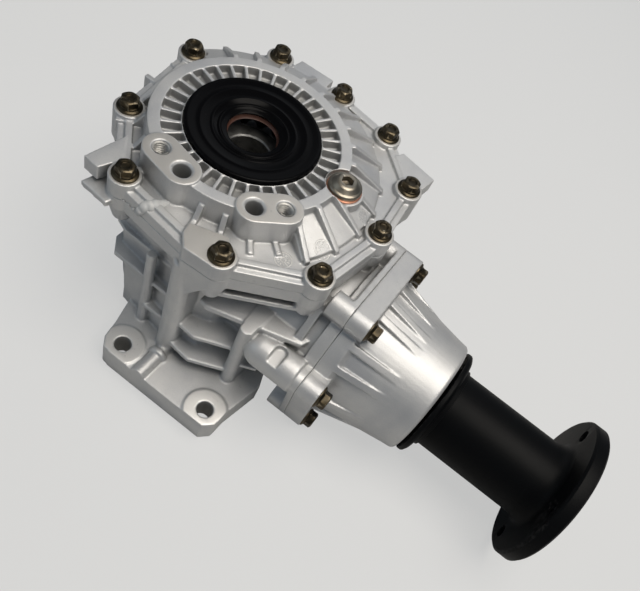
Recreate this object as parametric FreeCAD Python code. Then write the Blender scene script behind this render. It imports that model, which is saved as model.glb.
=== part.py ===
"""Right-angle transfer case: a hollow input shaft and ring gear on a vertical axis drive an
offset pinion and its companion flange on a horizontal axis.

Frame: millimetres, +Z up. The origin is on the input shaft axis, at the gearbox mating face.
The end cover is at the top, and the companion flange points along +X.
"""
import FreeCAD, Part
import math
import os

os.makedirs("parts", exist_ok=True)
V = FreeCAD.Vector
X_AXIS = V(1, 0, 0)
Y_AXIS = V(0, 1, 0)
Z_AXIS = V(0, 0, 1)

# ---------------------------------------------------------------- levels along the input axis
PARTING_Z = 143.6          # joint between the main housing and the end cover
COVER_RIM_T = 9.0          # outer ledge of the cover
BOLT_SEAT_H = 13.5         # cover bolt seats above the parting plane
PLATE_H = 8.0              # floor of the cover between its ribs, above the parting plane
DRUM_H = 28.1              # top of the cover's drum above the parting plane
HOUSING_RIM_T = 12.0       # rim flange of the main housing
MATING_T = 14.0            # round flange at the gearbox end
FOOT_T = 23.3              # mounting foot, without its raised pads
PAD_T = 1.0                # raised pads round the foot holes

# ---------------------------------------------------------------- output (pinion) axis
AXIS_Y = -14.0             # hypoid offset of the pinion axis
AXIS_Z = 66.0              # height of the pinion axis over the mating face
JOINT_X = 131.5            # joint between the main housing and the pinion housing
NOSE_X = 215.0             # end face of the pinion housing
EAR_T = 15.5               # thickness of the pinion housing's bolt ears
FLANGE_FACE_X = 335.0      # outer face of the companion flange

# ---------------------------------------------------------------- cover bolts, in order round the rim
COVER_BOLTS = [(-85.3, 40.6), (-41.3, 95.1), (15.8, 101.4), (64.8, 95.7), (105.0, 61.3),
               (110.9, 7.6), (100.5, -54.7), (45.3, -89.4), (-37.5, -84.6), (-75.8, -38.3)]
CORNER_PAD = (24.0, -92.0)  # corner over the front pillar, between two of the bolts
CORNER_OUTLINE = [(15.0, -84.0), (17.0, -93.0), (25.0, -102.0), (47.0, -100.3), (56.0, -88.0), (40.0, -74.0)]
LOBE_R = 11.0
BOSS_CONE_L = 27.0         # rim bolt bosses below the parting plane
EDGE_OFFSET = 7.0          # rim edge outside the line between two bolts
INNER_EDGE = 2.0           # raised inner rim, outside the same line

# ---------------------------------------------------------------- fasteners (M8 flange bolts)
BOLT_R = 4.0
BOLT_FLANGE_R = 8.9
BOLT_FLANGE_T = 1.8
BOLT_HEX = 12.0            # across flats
BOLT_HEAD_H = 8.0
BOLT_CLEAR = 0.5           # clearance hole over the shank
TAP_CLEAR = 0.05
BOLT_DEPTH = 20.0          # cover bolt in the threads
EAR_BOLT_DEPTH = 14.0      # ear bolt in the threads
BLIND = 2.0                # tapped hole past the bolt's end

EAR_R = 10.0
EAR_BOSS_L = 17.5          # ear on the main housing
EAR_CIRCLE_R = 72.0
EAR_ANGLES = (54.0, 116.0, 166.0, 222.0, 318.0, 6.0)   # from +Y towards +Z
JOINED_EARS = (EAR_ANGLES[0:2], EAR_ANGLES[2:4])        # pairs with a plate between them

# ---------------------------------------------------------------- gears
RING_TEETH = 39
PINION_TEETH = 15
GEAR_TOE_R = 51.0
GEAR_HEEL_R = 72.0
ADDENDUM = 0.62            # in modules
DEDENDUM = 0.85
FLANK_ANGLE = 20.0
BACKLASH = 0.16            # of a module, off each flank
RING_BACK_Z = 108.0
TAN_PITCH = PINION_TEETH / RING_TEETH
TAN_FLANK = math.tan(math.radians(FLANK_ANGLE))

# ---------------------------------------------------------------- shafts and bearings
SHAFT_BORE_R = 16.5
SHAFT_SEAT_R = 27.0
SHAFT_BOTTOM_Z = 8.0
SHAFT_TOP_Z = 150.0
HUB_R = 62.0
HUB_T = 10.0
LOWER_BEARING_Z = 15.0
LOWER_BEARING_W = 20.0
LOWER_CUP_R = 43.0
UPPER_BEARING_Z = 126.0
UPPER_BEARING_W = 22.0
UPPER_CUP_R = 45.0
HEAD_BEARING_X = 77.0
HEAD_BEARING_W = 21.0
HEAD_CUP_R = 36.0
HEAD_SEAT_R = 17.5
TAIL_BEARING_X = 168.0
TAIL_BEARING_W = 18.0
TAIL_CUP_R = 31.0
TAIL_SEAT_R = 15.0
SHIM_T = 1.2
RACE_CLEAR = 0.12
SEAL_CLEAR = 0.08
FIT = 0.02                 # press and location fits inside one body

# ---------------------------------------------------------------- seals and openings
REGISTER_R = 52.0
REGISTER_DEPTH = 6.0
INPUT_SEAL_R = 34.0
INPUT_SEAL_T = 7.0
HALF_SHAFT_SEAL_R = 34.0
HALF_SHAFT_SEAL_T = 8.0
HALF_SHAFT_LIP_R = 17.5
SHIELD_R = 48.5
SHIELD_T = 1.6
SHIELD_RISE = 3.0          # top of the shield above its seat
PINION_SEAL_R = 32.0
PINION_SEAL_T = 10.0

# ---------------------------------------------------------------- companion flange
TUBE_R = 33.0
TUBE_BORE_R = 24.0
FLANGE_HUB_R = 22.0
FLANGE_R = 62.0
FLANGE_T = 12.0
FLANGE_CHAMFER = 1.8
NUT_RECESS_R = 19.6        # bottom of the tube, round the nut's washer face
PILOT_R = 30.0
PILOT_DEPTH = 4.0
FLANGE_PCD = 98.0
FLANGE_HOLES = 4
FLANGE_HOLE_R = 5.25
NUT_SEAT_X = 205.0
DUST_RING_R = 46.0

# ---------------------------------------------------------------- foot and mating flange
FOOT_HOLES = [(2.6, -120.2), (83.9, -120.2)]
FOOT_HOLE_R = 6.5
FOOT_FRONT_Y = -132.3
MATING_R = 78.0
REAR_LOBE_R = 13.0
FOOT_OUTLINE = [(-7.0, -131.0), (-12.0, -124.0), (-15.0, -109.0), (-22.0, -84.0), (-30.0, -40.0), (90.0, -40.0),
                (104.0, -76.0), (98.0, -110.0), (97.5, -125.0), (90.6, FOOT_FRONT_Y), (0.0, FOOT_FRONT_Y)]
FOOT_PAD_R = 17.0
FOOT_RIDGE_X = 27.5        # round ridge between the two pads
FOOT_RIDGE_R = 5.8
FOOT_RIDGE_BEAD_R = 7.6
REAR_LOBES = [(-50.0, 72.0), (50.0, 72.0)]
REAR_HOLE_R = 5.5
LONG_BOSS_R = 13.5         # long boss behind the ear nearest the foot
LONG_BOSS_X = 94.0
LONG_BOSS_POCKET = (107.0, 5.0)   # place along the axis and radius of the pocket on top
LONG_BOSS_SHIFT = (2.0, -1.0)     # from the ear's axis, in Y and Z

# ---------------------------------------------------------------- bracket bosses and fill plug
BOSS_TOP_Z = PARTING_Z + DRUM_H + 1.4
BOSS_R = 12.6
BRACKET_BOSSES = [((-29.1, -62.0), (-8.3, -66.2)), ((56.7, -40.3), (41.6, -54.5))]  # threaded, plain
BOSS_HOLE_R = 6.0
BOSS_HOLE_DEPTH = 24.0
DRUM_R = 71.9
DRUM_FOOT_R = 74.3
BAND_R = 63.4
FIN_PITCH = 10.0           # degrees between the fins round the shield
FIN_T = 2.4
POCKET_DEPTH = 7.0         # hollow between the fins
SHIELD_GAP = 0.4           # round the shield, in the top of the hub
PLUG_AT = (72.8, 10.5)
PLUG_SEAT_Z = PARTING_Z + DRUM_H - 4.2
PLUG_R = 12.4
PLUG_BOSS_R = 15.0
DRAIN_Z = 40.0
DRAIN_SEAT_Y = 78.0
DRAIN_SPOT_R = 16.0        # spot face round the drain plug


# ---------------------------------------------------------------- bearings: rollers and cups
ROLLER_TILT = 13.0
ROLLER_HALF_TAPER = 1.6
ROLLER_SIDES = 8           # flat sides that stand in for a round roller
CUP_START = 0.1            # thick end of a cup, as a share of the bearing's width
CUP_END = 0.84             # thin end of a cup
LOWER_CUP_Z = LOWER_BEARING_Z + CUP_START * LOWER_BEARING_W
UPPER_CUP_TOP_Z = UPPER_BEARING_Z + (1 - CUP_START) * UPPER_BEARING_W
CUP_SHOULDER_Z = UPPER_CUP_TOP_Z + SHIM_T
HEAD_CUP_BACK_X = HEAD_BEARING_X + (1 - CUP_START) * HEAD_BEARING_W
TAIL_CUP_FRONT_X = TAIL_BEARING_X + CUP_START * TAIL_BEARING_W

# ---------------------------------------------------------------- ring gear bolts and input spline
RING_BOLTS = 8
RING_BOLT_R = 55.0
RING_BOLT_ANGLES = [2 * math.pi * i / RING_BOLTS for i in range(RING_BOLTS)]
SPLINE_TEETH = 24
SPLINE_R = 15.0
SPLINE_ROOT_R = 17.6
SPLINE_TOP_Z = 40.0
RELIEF = 2.0               # groove past the spline's end

# ---------------------------------------------------------------- seats inside the cover and the nose
COVER_HUB_Z = 126.5
COVER_HUB_R = 53.0
CUP_STEP_R = 38.0          # bore behind the upper bearing's shim
SEAL_STEP_R = 30.0         # bore under the half-shaft seal
SKIRT_R = 99.0             # sloping wall between the drum and the rim
SKIRT_DROP = 5.5           # top of that wall under the top of the drum
SKIRT_FROM, SKIRT_TO = -32.0, 152.0
SKIRT_RIB_PITCH = 14
COVER_RIB_T = 4.0
COVER_RIB_ANGLES = (-79, -66, -52, -40, 166, 182, 198, 214, 230)
INNER_RIM_H = 11.5         # raised inner rim above the parting plane
TAB_RISE = 3.0             # tabs above the outer ledge
GEAR_CHAMBER_R = 76.0
SHIELD_SEAT_Z = PARTING_Z + DRUM_H - 0.1
SHIELD_TOP_Z = SHIELD_SEAT_Z + SHIELD_RISE
HALF_SEAL_TOP_Z = SHIELD_SEAT_Z - 3.3
SPIGOT_R = 50.0
JOINT_FLANGE_R = 63.0      # round the joint between the housings
BARREL_R = 58.0
BARREL_X = 30.0            # inner end of the barrel
EAR_WEB = 0.92             # web behind an ear, as a share of the ear's width
EAR_PLATE_T = 5.0          # plate between two ears, on the main housing
O_RING_X = 124.0
O_RING_R = 1.3
O_RING_GROOVE_W = 3.4
O_RING_GROOVE_D = 2.6
WASHER_T = 1.5
PLUG_THREAD_R = 8.0
DOWEL_R = 3.0
DOWEL_DEPTH = 5.0
DOWELS = [(-62.0, 66.5), (72.0, -71.0)]
# ---------------------------------------------------------------- outlines of tabs and walls, ribs of the nose
COVER_TABS = [
    [(-65, -92), (-53, -93), (-47, -76), (-60, -58)],
    [(-30, 96), (-29, 109), (1, 112), (1, 96)],
    [(80, 84), (83, 92), (115, 88), (113, 72), (104, 62)],
]
UPPER_WALL = [(-85.3, 40.6), (-41.3, 93.0), (15.8, 99.0), (64.8, 93.0), (102.0, 60.0), (107.0, 7.6),
              (93.0, -48.0), (50.0, -76.0), (24.0, -86.0), (-40.0, -80.0), (-77.8, -38.3)]
MID_WALL = [(-82.5, 38.5), (-40.5, 88.0), (15.0, 90.0), (60.0, 80.0), (88.0, 50.0), (92.0, 5.0), (82.0, -46.0),
            (48.0, -76.0), (24.0, -86.0), (-40.0, -77.5), (-76.5, -37.5)]
LOW_WALL = [(-62.0, 28.0), (-32.0, 62.0), (12.0, 68.0), (46.0, 60.0), (64.0, 34.0), (68.0, 2.0), (72.0, -55.0),
            (46.0, -92.0), (24.0, -94.0), (-30.0, -84.0), (-58.0, -32.0)]
MID_WALL_Z = 82.0
LOW_WALL_Z = 30.0
LOWER_TAB = [(-61.0, -99.0), (-38.0, -101.0), (-34.0, -84.0), (-56.0, -74.0)]
LOWER_TAB_TOP = 3.0        # under the parting plane
LOWER_TAB_T = 4.6
# ---------------------------------------------------------------- pillar, pilasters and wall ribs, foot side
PILLAR_AT = (25.0, -95.0)
PILLAR_R = 8.6
PILLAR_TOP_R = 7.6
PILLAR_WEB = [(17, -96), (33, -96), (34, -80), (16, -80)]
PILLAR_NECK = [(17.5, -84.0), (17.5, -91.0), (22.0, -99.0), (31.0, -99.5), (36.0, -90.0), (34.0, -76.0)]
NECK_L = 26.0              # from the corner pad down to the pillar
PILASTERS = [((-4.0, -90.5), 4.6, 3.8, 108.0), ((79.0, -86.0), 5.8, 4.8, 100.0)]   # place, radii, top level
RIGHT_PILASTER_WEB = [(74, -88), (84, -88), (86, -60), (72, -60)]
WALL_RIBS = [              # outline, top level, thickness
    ([(24, -98), (48, -99.5), (79, -85), (82, -50), (24, -60)], 66, 4),
    ([(24, -101), (50, -104), (79, -90), (82, -50), (24, -60)], 39, 4),
    ([(40, -90), (47, -91.5), (75, -82.5), (115, -69), (121, -54), (108, -40), (40, -60)], 99, 5),
    ([(46, -88), (52, -92), (68, -82), (101, -61), (96, -40), (40, -60)], 123, 4),
    ([(79, -88), (96, -80), (96, -50), (79, -50)], 50, 4),
    ([(-44, -80), (-34, -84), (8, -85), (24, -90), (24, -60), (-44, -50)], 101, 4),
    ([(-46, -78), (-37, -90), (20, -91), (24, -60), (-46, -50)], 76, 4),
    ([(-2, -96), (20, -95), (22, -60), (-4, -60)], 50, 4),
]
GUSSET = [(110.0, -68.0, 97.0), (110.0, -40.0, 97.0), (110.0, -40.0, 128.0), (110.0, -50.0, 128.0)]
GUSSET_T = 6.0
NOSE_RIB_T = 6.0
NOSE_RIB_ANGLES = (20.0, 38.0, 70.0, 88.0, 102.0, 130.0, 148.0, 180.0, 205.0, 240.0, 270.0, 300.0, 340.0)


# ================================================================ shape helpers
def cyl(r, z0, z1, at=(0.0, 0.0)):
    """Upright cylinder between two heights."""
    return Part.makeCylinder(r, z1 - z0, V(at[0], at[1], z0))


def cyl_x(r, x0, x1, y=AXIS_Y, z=AXIS_Z):
    """Cylinder along X, on the output axis unless told otherwise."""
    return Part.makeCylinder(r, x1 - x0, V(x0, y, z), X_AXIS)


def cyl_y(r, y0, y1, x, z):
    """Cylinder along Y."""
    return Part.makeCylinder(r, y1 - y0, V(x, y0, z), Y_AXIS)


def cone(r0, r1, z0, z1, at=(0.0, 0.0)):
    """Upright cone frustum."""
    return Part.makeCone(r0, r1, z1 - z0, V(at[0], at[1], z0))


def face_of(points):
    """Planar face through a closed list of points."""
    return Part.Face(Part.makePolygon(points + [points[0]]))


def turn_z(profile):
    """Body of revolution about the input axis from (r, z) points."""
    return face_of([V(r, 0, z) for r, z in profile]).revolve(V(), Z_AXIS, 360)


def turn_x(profile):
    """Body of revolution about the output axis from (x, r) points."""
    face = face_of([V(x, AXIS_Y, AXIS_Z + r) for x, r in profile])
    return face.revolve(V(0, AXIS_Y, AXIS_Z), X_AXIS, 360)


def prism(points, z0, z1):
    """Upright prism over an (x, y) outline."""
    return face_of([V(x, y, z0) for x, y in points]).extrude(V(0, 0, z1 - z0))


def web(points, thickness, normal):
    """Flat web through 3-D points, its thickness centred on them."""
    half = V(normal).normalize() * (thickness / 2)
    return face_of([V(*p) - half for p in points]).extrude(half * 2)


def radial_web(profile, thickness, angle):
    """Flat web in a vertical plane through the input axis, from (r, z) points."""
    plate = web([(r, 0, z) for r, z in profile], thickness, Y_AXIS)
    return plate.rotate(V(), Z_AXIS, angle)


def axial_web(profile, thickness, angle):
    """Flat web in a plane through the output axis, from (x, r) points.

    The angle runs from +Y towards +Z.
    """
    centre = V(0, AXIS_Y, AXIS_Z)
    plate = web([(x, AXIS_Y + r, AXIS_Z) for x, r in profile], thickness, Z_AXIS)
    return plate.rotate(centre, X_AXIS, angle)


def on_output_circle(radius, angle):
    """Y and Z of a point on a circle about the output axis."""
    a = math.radians(angle)
    return AXIS_Y + radius * math.cos(a), AXIS_Z + radius * math.sin(a)


def ring_points(radius, count):
    """Corners of a regular polygon round the origin."""
    turns = [2 * math.pi * i / count for i in range(count)]
    return [(radius * math.cos(a), radius * math.sin(a)) for a in turns]


def hexagon(flats, z0, z1):
    """Upright hexagonal prism."""
    return prism(ring_points(flats / math.sqrt(3), 6), z0, z1)


def clean(shape):
    """One tidy solid or compound, with coplanar faces joined."""
    return shape.removeSplitter()


def ruled(sections):
    """Solid between closed sections with as many corners each."""
    wires = [Part.makePolygon(s + [s[0]]) for s in sections]
    return Part.makeLoft(wires, True, True)


def fuse(shapes):
    """Union of a list of shapes."""
    return shapes[0].multiFuse(shapes[1:])


def cut(shape, tools):
    """Shape less a list of tools."""
    return shape.cut(tools)


def save(name, shape):
    """Write one node."""
    shape.exportStep(os.path.join("parts", name + ".step"))


# ================================================================ outlines
def rim_points(offset):
    """Cover outline: the bolt polygon with its corner pad, moved outwards."""
    points = COVER_BOLTS[:8] + [CORNER_PAD] + COVER_BOLTS[8:]
    wire = Part.makePolygon([V(x, y, 0) for x, y in points + [points[0]]])
    return Part.Face(wire).makeOffset2D(offset, 2)


def rim_plate(offset, z0, z1):
    """Plate with the cover's outline."""
    outline = rim_points(offset)
    outline.translate(V(0, 0, z0))
    return outline.extrude(V(0, 0, z1 - z0))


def obround(a, b, r, z0, z1):
    """Upright slot shape round two centres."""
    d = V(b[0] - a[0], b[1] - a[1], 0)
    n = V(-d.y, d.x, 0).normalize() * r
    box = face_of([V(a[0], a[1], z0) + n, V(b[0], b[1], z0) + n, V(b[0], b[1], z0) - n,
                   V(a[0], a[1], z0) - n]).extrude(V(0, 0, z1 - z0))
    return fuse([box, cyl(r, z0, z1, a), cyl(r, z0, z1, b)])


# ================================================================ fasteners
def flange_bolt(length):
    """M8 hexagon flange bolt, seat at z = 0 and shank down."""
    rim_t = BOLT_FLANGE_T / 3
    flange = cone(BOLT_FLANGE_R, BOLT_HEX / 2 + 0.6, rim_t, 5 * rim_t)
    return fuse([cyl(BOLT_R, -length, 0.0), cyl(BOLT_FLANGE_R, 0.0, rim_t), flange,
                 hexagon(BOLT_HEX, rim_t, BOLT_HEAD_H)])


def make_cover_bolts():
    """Ten bolts through the cover into the main housing."""
    seat = PARTING_Z + BOLT_SEAT_H
    bolts = []
    for i, (x, y) in enumerate(COVER_BOLTS):
        bolt = flange_bolt(BOLT_SEAT_H + BOLT_DEPTH)
        bolt.rotate(V(), Z_AXIS, 17.0 * i)
        bolt.translate(V(x, y, seat))
        bolts.append(bolt)
    return Part.makeCompound(bolts)


def make_pinion_housing_bolts():
    """Bolts through the ears of the pinion housing."""
    bolts = []
    for i, angle in enumerate(EAR_ANGLES):
        y, z = on_output_circle(EAR_CIRCLE_R, angle)
        bolt = flange_bolt(EAR_T + EAR_BOLT_DEPTH)
        bolt.rotate(V(), Z_AXIS, 11.0 * i)
        bolt.rotate(V(), Y_AXIS, 90)
        bolt.translate(V(JOINT_X + EAR_T, y, z))
        bolts.append(bolt)
    return Part.makeCompound(bolts)


# ================================================================ bearings


def taper_bearing(bore_r, cup_r, width, count):
    """Tapered roller bearing about Z, from z = 0, with the large roller ends at the top.

    Returns the cone (inner ring), the cup (outer ring) and the rollers.
    """
    mean_r = (bore_r + cup_r) / 2
    mean_s = mean_r / math.sin(math.radians(ROLLER_TILT))
    apex_z = width / 2 - mean_s * math.cos(math.radians(ROLLER_TILT))
    roller_l = 0.62 * width
    inner = math.tan(math.radians(ROLLER_TILT - ROLLER_HALF_TAPER))
    outer = math.tan(math.radians(ROLLER_TILT + ROLLER_HALF_TAPER))

    def race(z, slope, clear):
        return (z - apex_z) * slope + clear

    z0, z1 = CUP_START * width, CUP_END * width
    cup = turn_z([(race(z0, outer, RACE_CLEAR), z0), (race(z1, outer, RACE_CLEAR), z1), (cup_r, z1),
                  (cup_r, z0)])
    rib = 0.86 * width
    lip_r = race(rib, inner, 0) + 0.3 * (cup_r - bore_r)
    ring = turn_z([(bore_r, 0), (race(0, inner, 0.8), 0), (race(0.1 * width, inner, 0.8), 0.1 * width),
                   (race(0.1 * width, inner, -RACE_CLEAR), 0.1 * width), (race(rib, inner, -RACE_CLEAR), rib),
                   (lip_r, rib), (lip_r, width), (bore_r, width)])
    taper = math.tan(math.radians(ROLLER_HALF_TAPER))
    ends = (mean_s - roller_l / 2, mean_s + roller_l / 2)
    roller = ruled([[V(x, y, s) for x, y in ring_points(s * taper, ROLLER_SIDES)] for s in ends])
    roller.rotate(V(), Y_AXIS, ROLLER_TILT)
    roller.translate(V(0, 0, apex_z))
    rollers = []
    for i in range(count):
        one = roller.copy()
        one.rotate(V(), Z_AXIS, 360.0 * i / count)
        rollers.append(one)
    return ring, cup, Part.makeCompound(rollers)


def place_on_input(shapes, z, flip=False, width=0.0):
    """Move bearing parts onto the input axis, turned over when flip is set."""
    for shape in shapes:
        if flip:
            shape.rotate(V(0, 0, width / 2), X_AXIS, 180)
        shape.translate(V(0, 0, z))
    return shapes


def place_on_output(shapes, x, flip=False, width=0.0):
    """Move bearing parts onto the output axis."""
    for shape in shapes:
        if flip:
            shape.rotate(V(0, 0, width / 2), X_AXIS, 180)
        shape.rotate(V(), Y_AXIS, 90)
        shape.translate(V(x, AXIS_Y, AXIS_Z))
    return shapes


# ================================================================ gears
def along(radius):
    """Distance along a ring tooth line, from its foot on the offset circle."""
    return math.sqrt(radius ** 2 - AXIS_Y ** 2)


def module_at(x):
    """Local module, which grows with the distance from the pitch apex."""
    return 2 * x / RING_TEETH


def tooth(x, level, up):
    """Half width of a tooth; level is above its pitch line, in modules, and up is where it thins."""
    m = module_at(x)
    return m * (math.pi / 4 - BACKLASH - up * level * TAN_FLANK)


def make_drive_pinion():
    """Straight pinion head on its shaft, with the shaft's steps, spline and thread."""
    x0, x1 = along(GEAR_TOE_R) - 2.0, along(GEAR_HEEL_R) + 2.0

    def root_r(x):
        return x * TAN_PITCH - DEDENDUM * module_at(x)

    back = x1 + 1.5
    shaft = [(x0, 0.0), (x0, root_r(x0)), (x1, root_r(x1)), (back, root_r(x1) - 1.0),
             (back, HEAD_SEAT_R + 4.0), (HEAD_BEARING_X, HEAD_SEAT_R + 4.0), (HEAD_BEARING_X, HEAD_SEAT_R),
             (HEAD_BEARING_X + HEAD_BEARING_W, HEAD_SEAT_R), (HEAD_BEARING_X + HEAD_BEARING_W + 2, 16.0),
             (TAIL_BEARING_X, 16.0), (TAIL_BEARING_X, TAIL_SEAT_R), (NUT_SEAT_X - 1.0, TAIL_SEAT_R),
             (NUT_SEAT_X - 1.0, 12.0), (NUT_SEAT_X + 17.0, 12.0), (NUT_SEAT_X + 18.0, 11.0),
             (NUT_SEAT_X + 18.0, 0.0)]
    body = [turn_x(shaft)]
    for i in range(PINION_TEETH):
        sections = []
        for x in (x0, x1):
            m = module_at(x)
            pitch = x * TAN_PITCH
            low, high = -DEDENDUM - 0.35, ADDENDUM
            sections.append([V(x, AXIS_Y + side * tooth(x, level, 1), AXIS_Z + pitch + level * m)
                             for side, level in ((-1, low), (1, low), (1, high), (-1, high))])
        one = ruled(sections)
        one.rotate(V(0, AXIS_Y, AXIS_Z), X_AXIS, 360.0 * (i + 0.5) / PINION_TEETH)
        body.append(one)
    return clean(fuse(body))


def make_ring_gear():
    """Ring gear with its teeth downwards, each tooth tangent to the offset circle."""
    def root_z(r):
        x = along(r)
        return AXIS_Z + x * TAN_PITCH + DEDENDUM * module_at(x)

    toe, heel = GEAR_TOE_R, GEAR_HEEL_R
    mid = (toe + heel) / 2
    blank = turn_z([(toe, root_z(toe)), (mid, root_z(mid)), (heel, root_z(heel)), (heel + 1.5, root_z(heel) + 2),
                    (heel + 1.5, RING_BACK_Z), (GEAR_TOE_R - 5.0, RING_BACK_Z),
                    (GEAR_TOE_R - 5.0, root_z(toe) + 3)])
    holes = [cyl(BOLT_R + TAP_CLEAR, RING_BACK_Z - 12.0, RING_BACK_Z + 1,
                 (RING_BOLT_R * math.cos(a), RING_BOLT_R * math.sin(a))) for a in RING_BOLT_ANGLES]
    body = [blank]
    x0, x1 = along(toe), along(heel)
    for i in range(RING_TEETH):
        sections = []
        for x in (x0, x1):
            m = module_at(x)
            pitch = AXIS_Z + x * TAN_PITCH
            low, high = -ADDENDUM, DEDENDUM + 0.35
            sections.append([V(x, AXIS_Y + side * tooth(x, level, -1), pitch + level * m)
                             for side, level in ((-1, low), (1, low), (1, high), (-1, high))])
        one = ruled(sections)
        one.rotate(V(), Z_AXIS, 360.0 * i / RING_TEETH)
        body.append(one)
    return clean(fuse(body).cut(holes))


def make_ring_gear_bolts():
    """Bolts that clamp the ring gear to the hub."""
    bolts = []
    for a in RING_BOLT_ANGLES:
        head = hexagon(12.0, 0.0, 6.0)
        bolt = head.fuse(cyl(BOLT_R, -HUB_T - 10.0, 0.0))
        bolt.translate(V(RING_BOLT_R * math.cos(a), RING_BOLT_R * math.sin(a), RING_BACK_Z + HUB_T))
        bolts.append(bolt)
    return Part.makeCompound(bolts)


# ================================================================ shafts


def make_input_shaft():
    """Hollow shaft with its gear hub, bearing seats and internal spline."""
    lower_top = LOWER_BEARING_Z + LOWER_BEARING_W
    hub_top = RING_BACK_Z + HUB_T
    relief_z = SPLINE_TOP_Z + RELIEF
    body = turn_z([(SPLINE_ROOT_R, SHAFT_BOTTOM_Z), (23.0, SHAFT_BOTTOM_Z), (24.0, SHAFT_BOTTOM_Z + 1),
                   (24.0, LOWER_BEARING_Z - 0.5), (SHAFT_SEAT_R, LOWER_BEARING_Z - 0.5),
                   (SHAFT_SEAT_R, lower_top), (30.0, lower_top), (30.0, RING_BACK_Z - 14),
                   (GEAR_TOE_R - 5.0 - FIT, RING_BACK_Z - 5), (GEAR_TOE_R - 5.0 - FIT, RING_BACK_Z),
                   (HUB_R, RING_BACK_Z), (HUB_R, hub_top), (34.0, hub_top), (30.0, hub_top + 4),
                   (30.0, UPPER_BEARING_Z), (SHAFT_SEAT_R, UPPER_BEARING_Z), (SHAFT_SEAT_R, SHAFT_TOP_Z - 1),
                   (SHAFT_SEAT_R - 1, SHAFT_TOP_Z), (SHAFT_BORE_R + 1, SHAFT_TOP_Z),
                   (SHAFT_BORE_R, SHAFT_TOP_Z - 1), (SHAFT_BORE_R, relief_z), (SPLINE_ROOT_R, relief_z)])
    holes = [cyl(BOLT_R + BOLT_CLEAR, RING_BACK_Z - 1, hub_top + 1,
                 (RING_BOLT_R * math.cos(a), RING_BOLT_R * math.sin(a))) for a in RING_BOLT_ANGLES]
    key = prism([(SPLINE_R, -0.8), (SPLINE_R, 0.8), (SPLINE_ROOT_R + 0.4, 1.5), (SPLINE_ROOT_R + 0.4, -1.5)],
                SHAFT_BOTTOM_Z + 1.5, SPLINE_TOP_Z)
    keys = []
    for i in range(SPLINE_TEETH):
        one = key.copy()
        one.rotate(V(), Z_AXIS, 360.0 * i / SPLINE_TEETH)
        keys.append(one)
    return clean(fuse([body.cut(holes)] + keys))


def make_crush_spacer():
    """Thin collapsible sleeve between the pinion's two inner rings."""
    x0 = HEAD_BEARING_X + HEAD_BEARING_W
    x1 = TAIL_BEARING_X
    mid = (x0 + x1) / 2
    return turn_x([(x0, 17.6), (x0, 20.2), (mid - 12, 20.2), (mid, 23.0), (mid + 12, 20.2), (x1, 20.2),
                   (x1, 17.6), (mid + 12, 17.6), (mid, 20.4), (mid - 12, 17.6)])


def make_companion_flange():
    """Long flange: splined hub, open tube, and a bolt disc at the outer end."""
    hub_x = TAIL_BEARING_X + TAIL_BEARING_W
    back = FLANGE_FACE_X - FLANGE_T
    body = turn_x([(hub_x, TAIL_SEAT_R + FIT), (hub_x, FLANGE_HUB_R - 1), (hub_x + 1, FLANGE_HUB_R),
                   (NOSE_X - 6, FLANGE_HUB_R), (NOSE_X + 1, TUBE_R - 3), (NOSE_X + 4, TUBE_R),
                   (back - 7, TUBE_R), (back - 2.5, TUBE_R + 2.0), (back, TUBE_R + 6.5),
                   (back, FLANGE_R - FLANGE_CHAMFER), (back + FLANGE_CHAMFER, FLANGE_R),
                   (FLANGE_FACE_X - FLANGE_CHAMFER, FLANGE_R), (FLANGE_FACE_X, FLANGE_R - FLANGE_CHAMFER),
                   (FLANGE_FACE_X, PILOT_R), (FLANGE_FACE_X - PILOT_DEPTH, PILOT_R),
                   (FLANGE_FACE_X - PILOT_DEPTH, TUBE_BORE_R), (NOSE_X + 4, TUBE_BORE_R),
                   (NOSE_X - 2, NUT_RECESS_R), (NUT_SEAT_X, NUT_RECESS_R), (NUT_SEAT_X, TAIL_SEAT_R + FIT)])
    holes = []
    for i in range(FLANGE_HOLES):
        y, z = on_output_circle(FLANGE_PCD / 2, 45 + 360.0 * i / FLANGE_HOLES)
        holes.append(cyl_x(FLANGE_HOLE_R, back - 8, FLANGE_FACE_X + 1, y, z))
    return clean(body.cut(holes))


def make_flange_dust_ring():
    """Thin deflector pressed on the flange tube beside the pinion housing's nose."""
    x0 = NOSE_X + 4.5
    return turn_x([(x0, TUBE_R + FIT), (x0, DUST_RING_R - 4), (x0 - 2.0, DUST_RING_R - 2),
                   (x0 - 2.0, DUST_RING_R), (x0 + 1.0, DUST_RING_R), (x0 + 3.5, DUST_RING_R - 3),
                   (x0 + 3.5, TUBE_R + 3), (x0 + 8.0, TUBE_R + 2.0), (x0 + 8.0, TUBE_R + FIT)])


def make_pinion_nut():
    """Flanged hexagon nut inside the flange tube."""
    nut = fuse([hexagon(30.0, 2.0, 13.0), cone(19.0, 17.0, 0.0, 3.0)]).cut(cyl(12.0 + FIT, -1, 14))
    nut.rotate(V(), Y_AXIS, 90)
    nut.translate(V(NUT_SEAT_X, AXIS_Y, AXIS_Z))
    return nut


# ================================================================ seals, shims and plugs
def make_input_seal():
    """Lip seal between the main housing and the input shaft."""
    z0 = REGISTER_DEPTH + 1.0
    z1 = z0 + INPUT_SEAL_T
    lip = 24.0 + SEAL_CLEAR
    return turn_z([(INPUT_SEAL_R, z0), (INPUT_SEAL_R, z1), (30.5, z1), (30.5, z0 + 2.5), (27.5, z0 + 2.5),
                   (26.5, z1 - 1), (25.0, z1 - 1), (lip, z0 + 3.5), (25.0, z0)])


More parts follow.
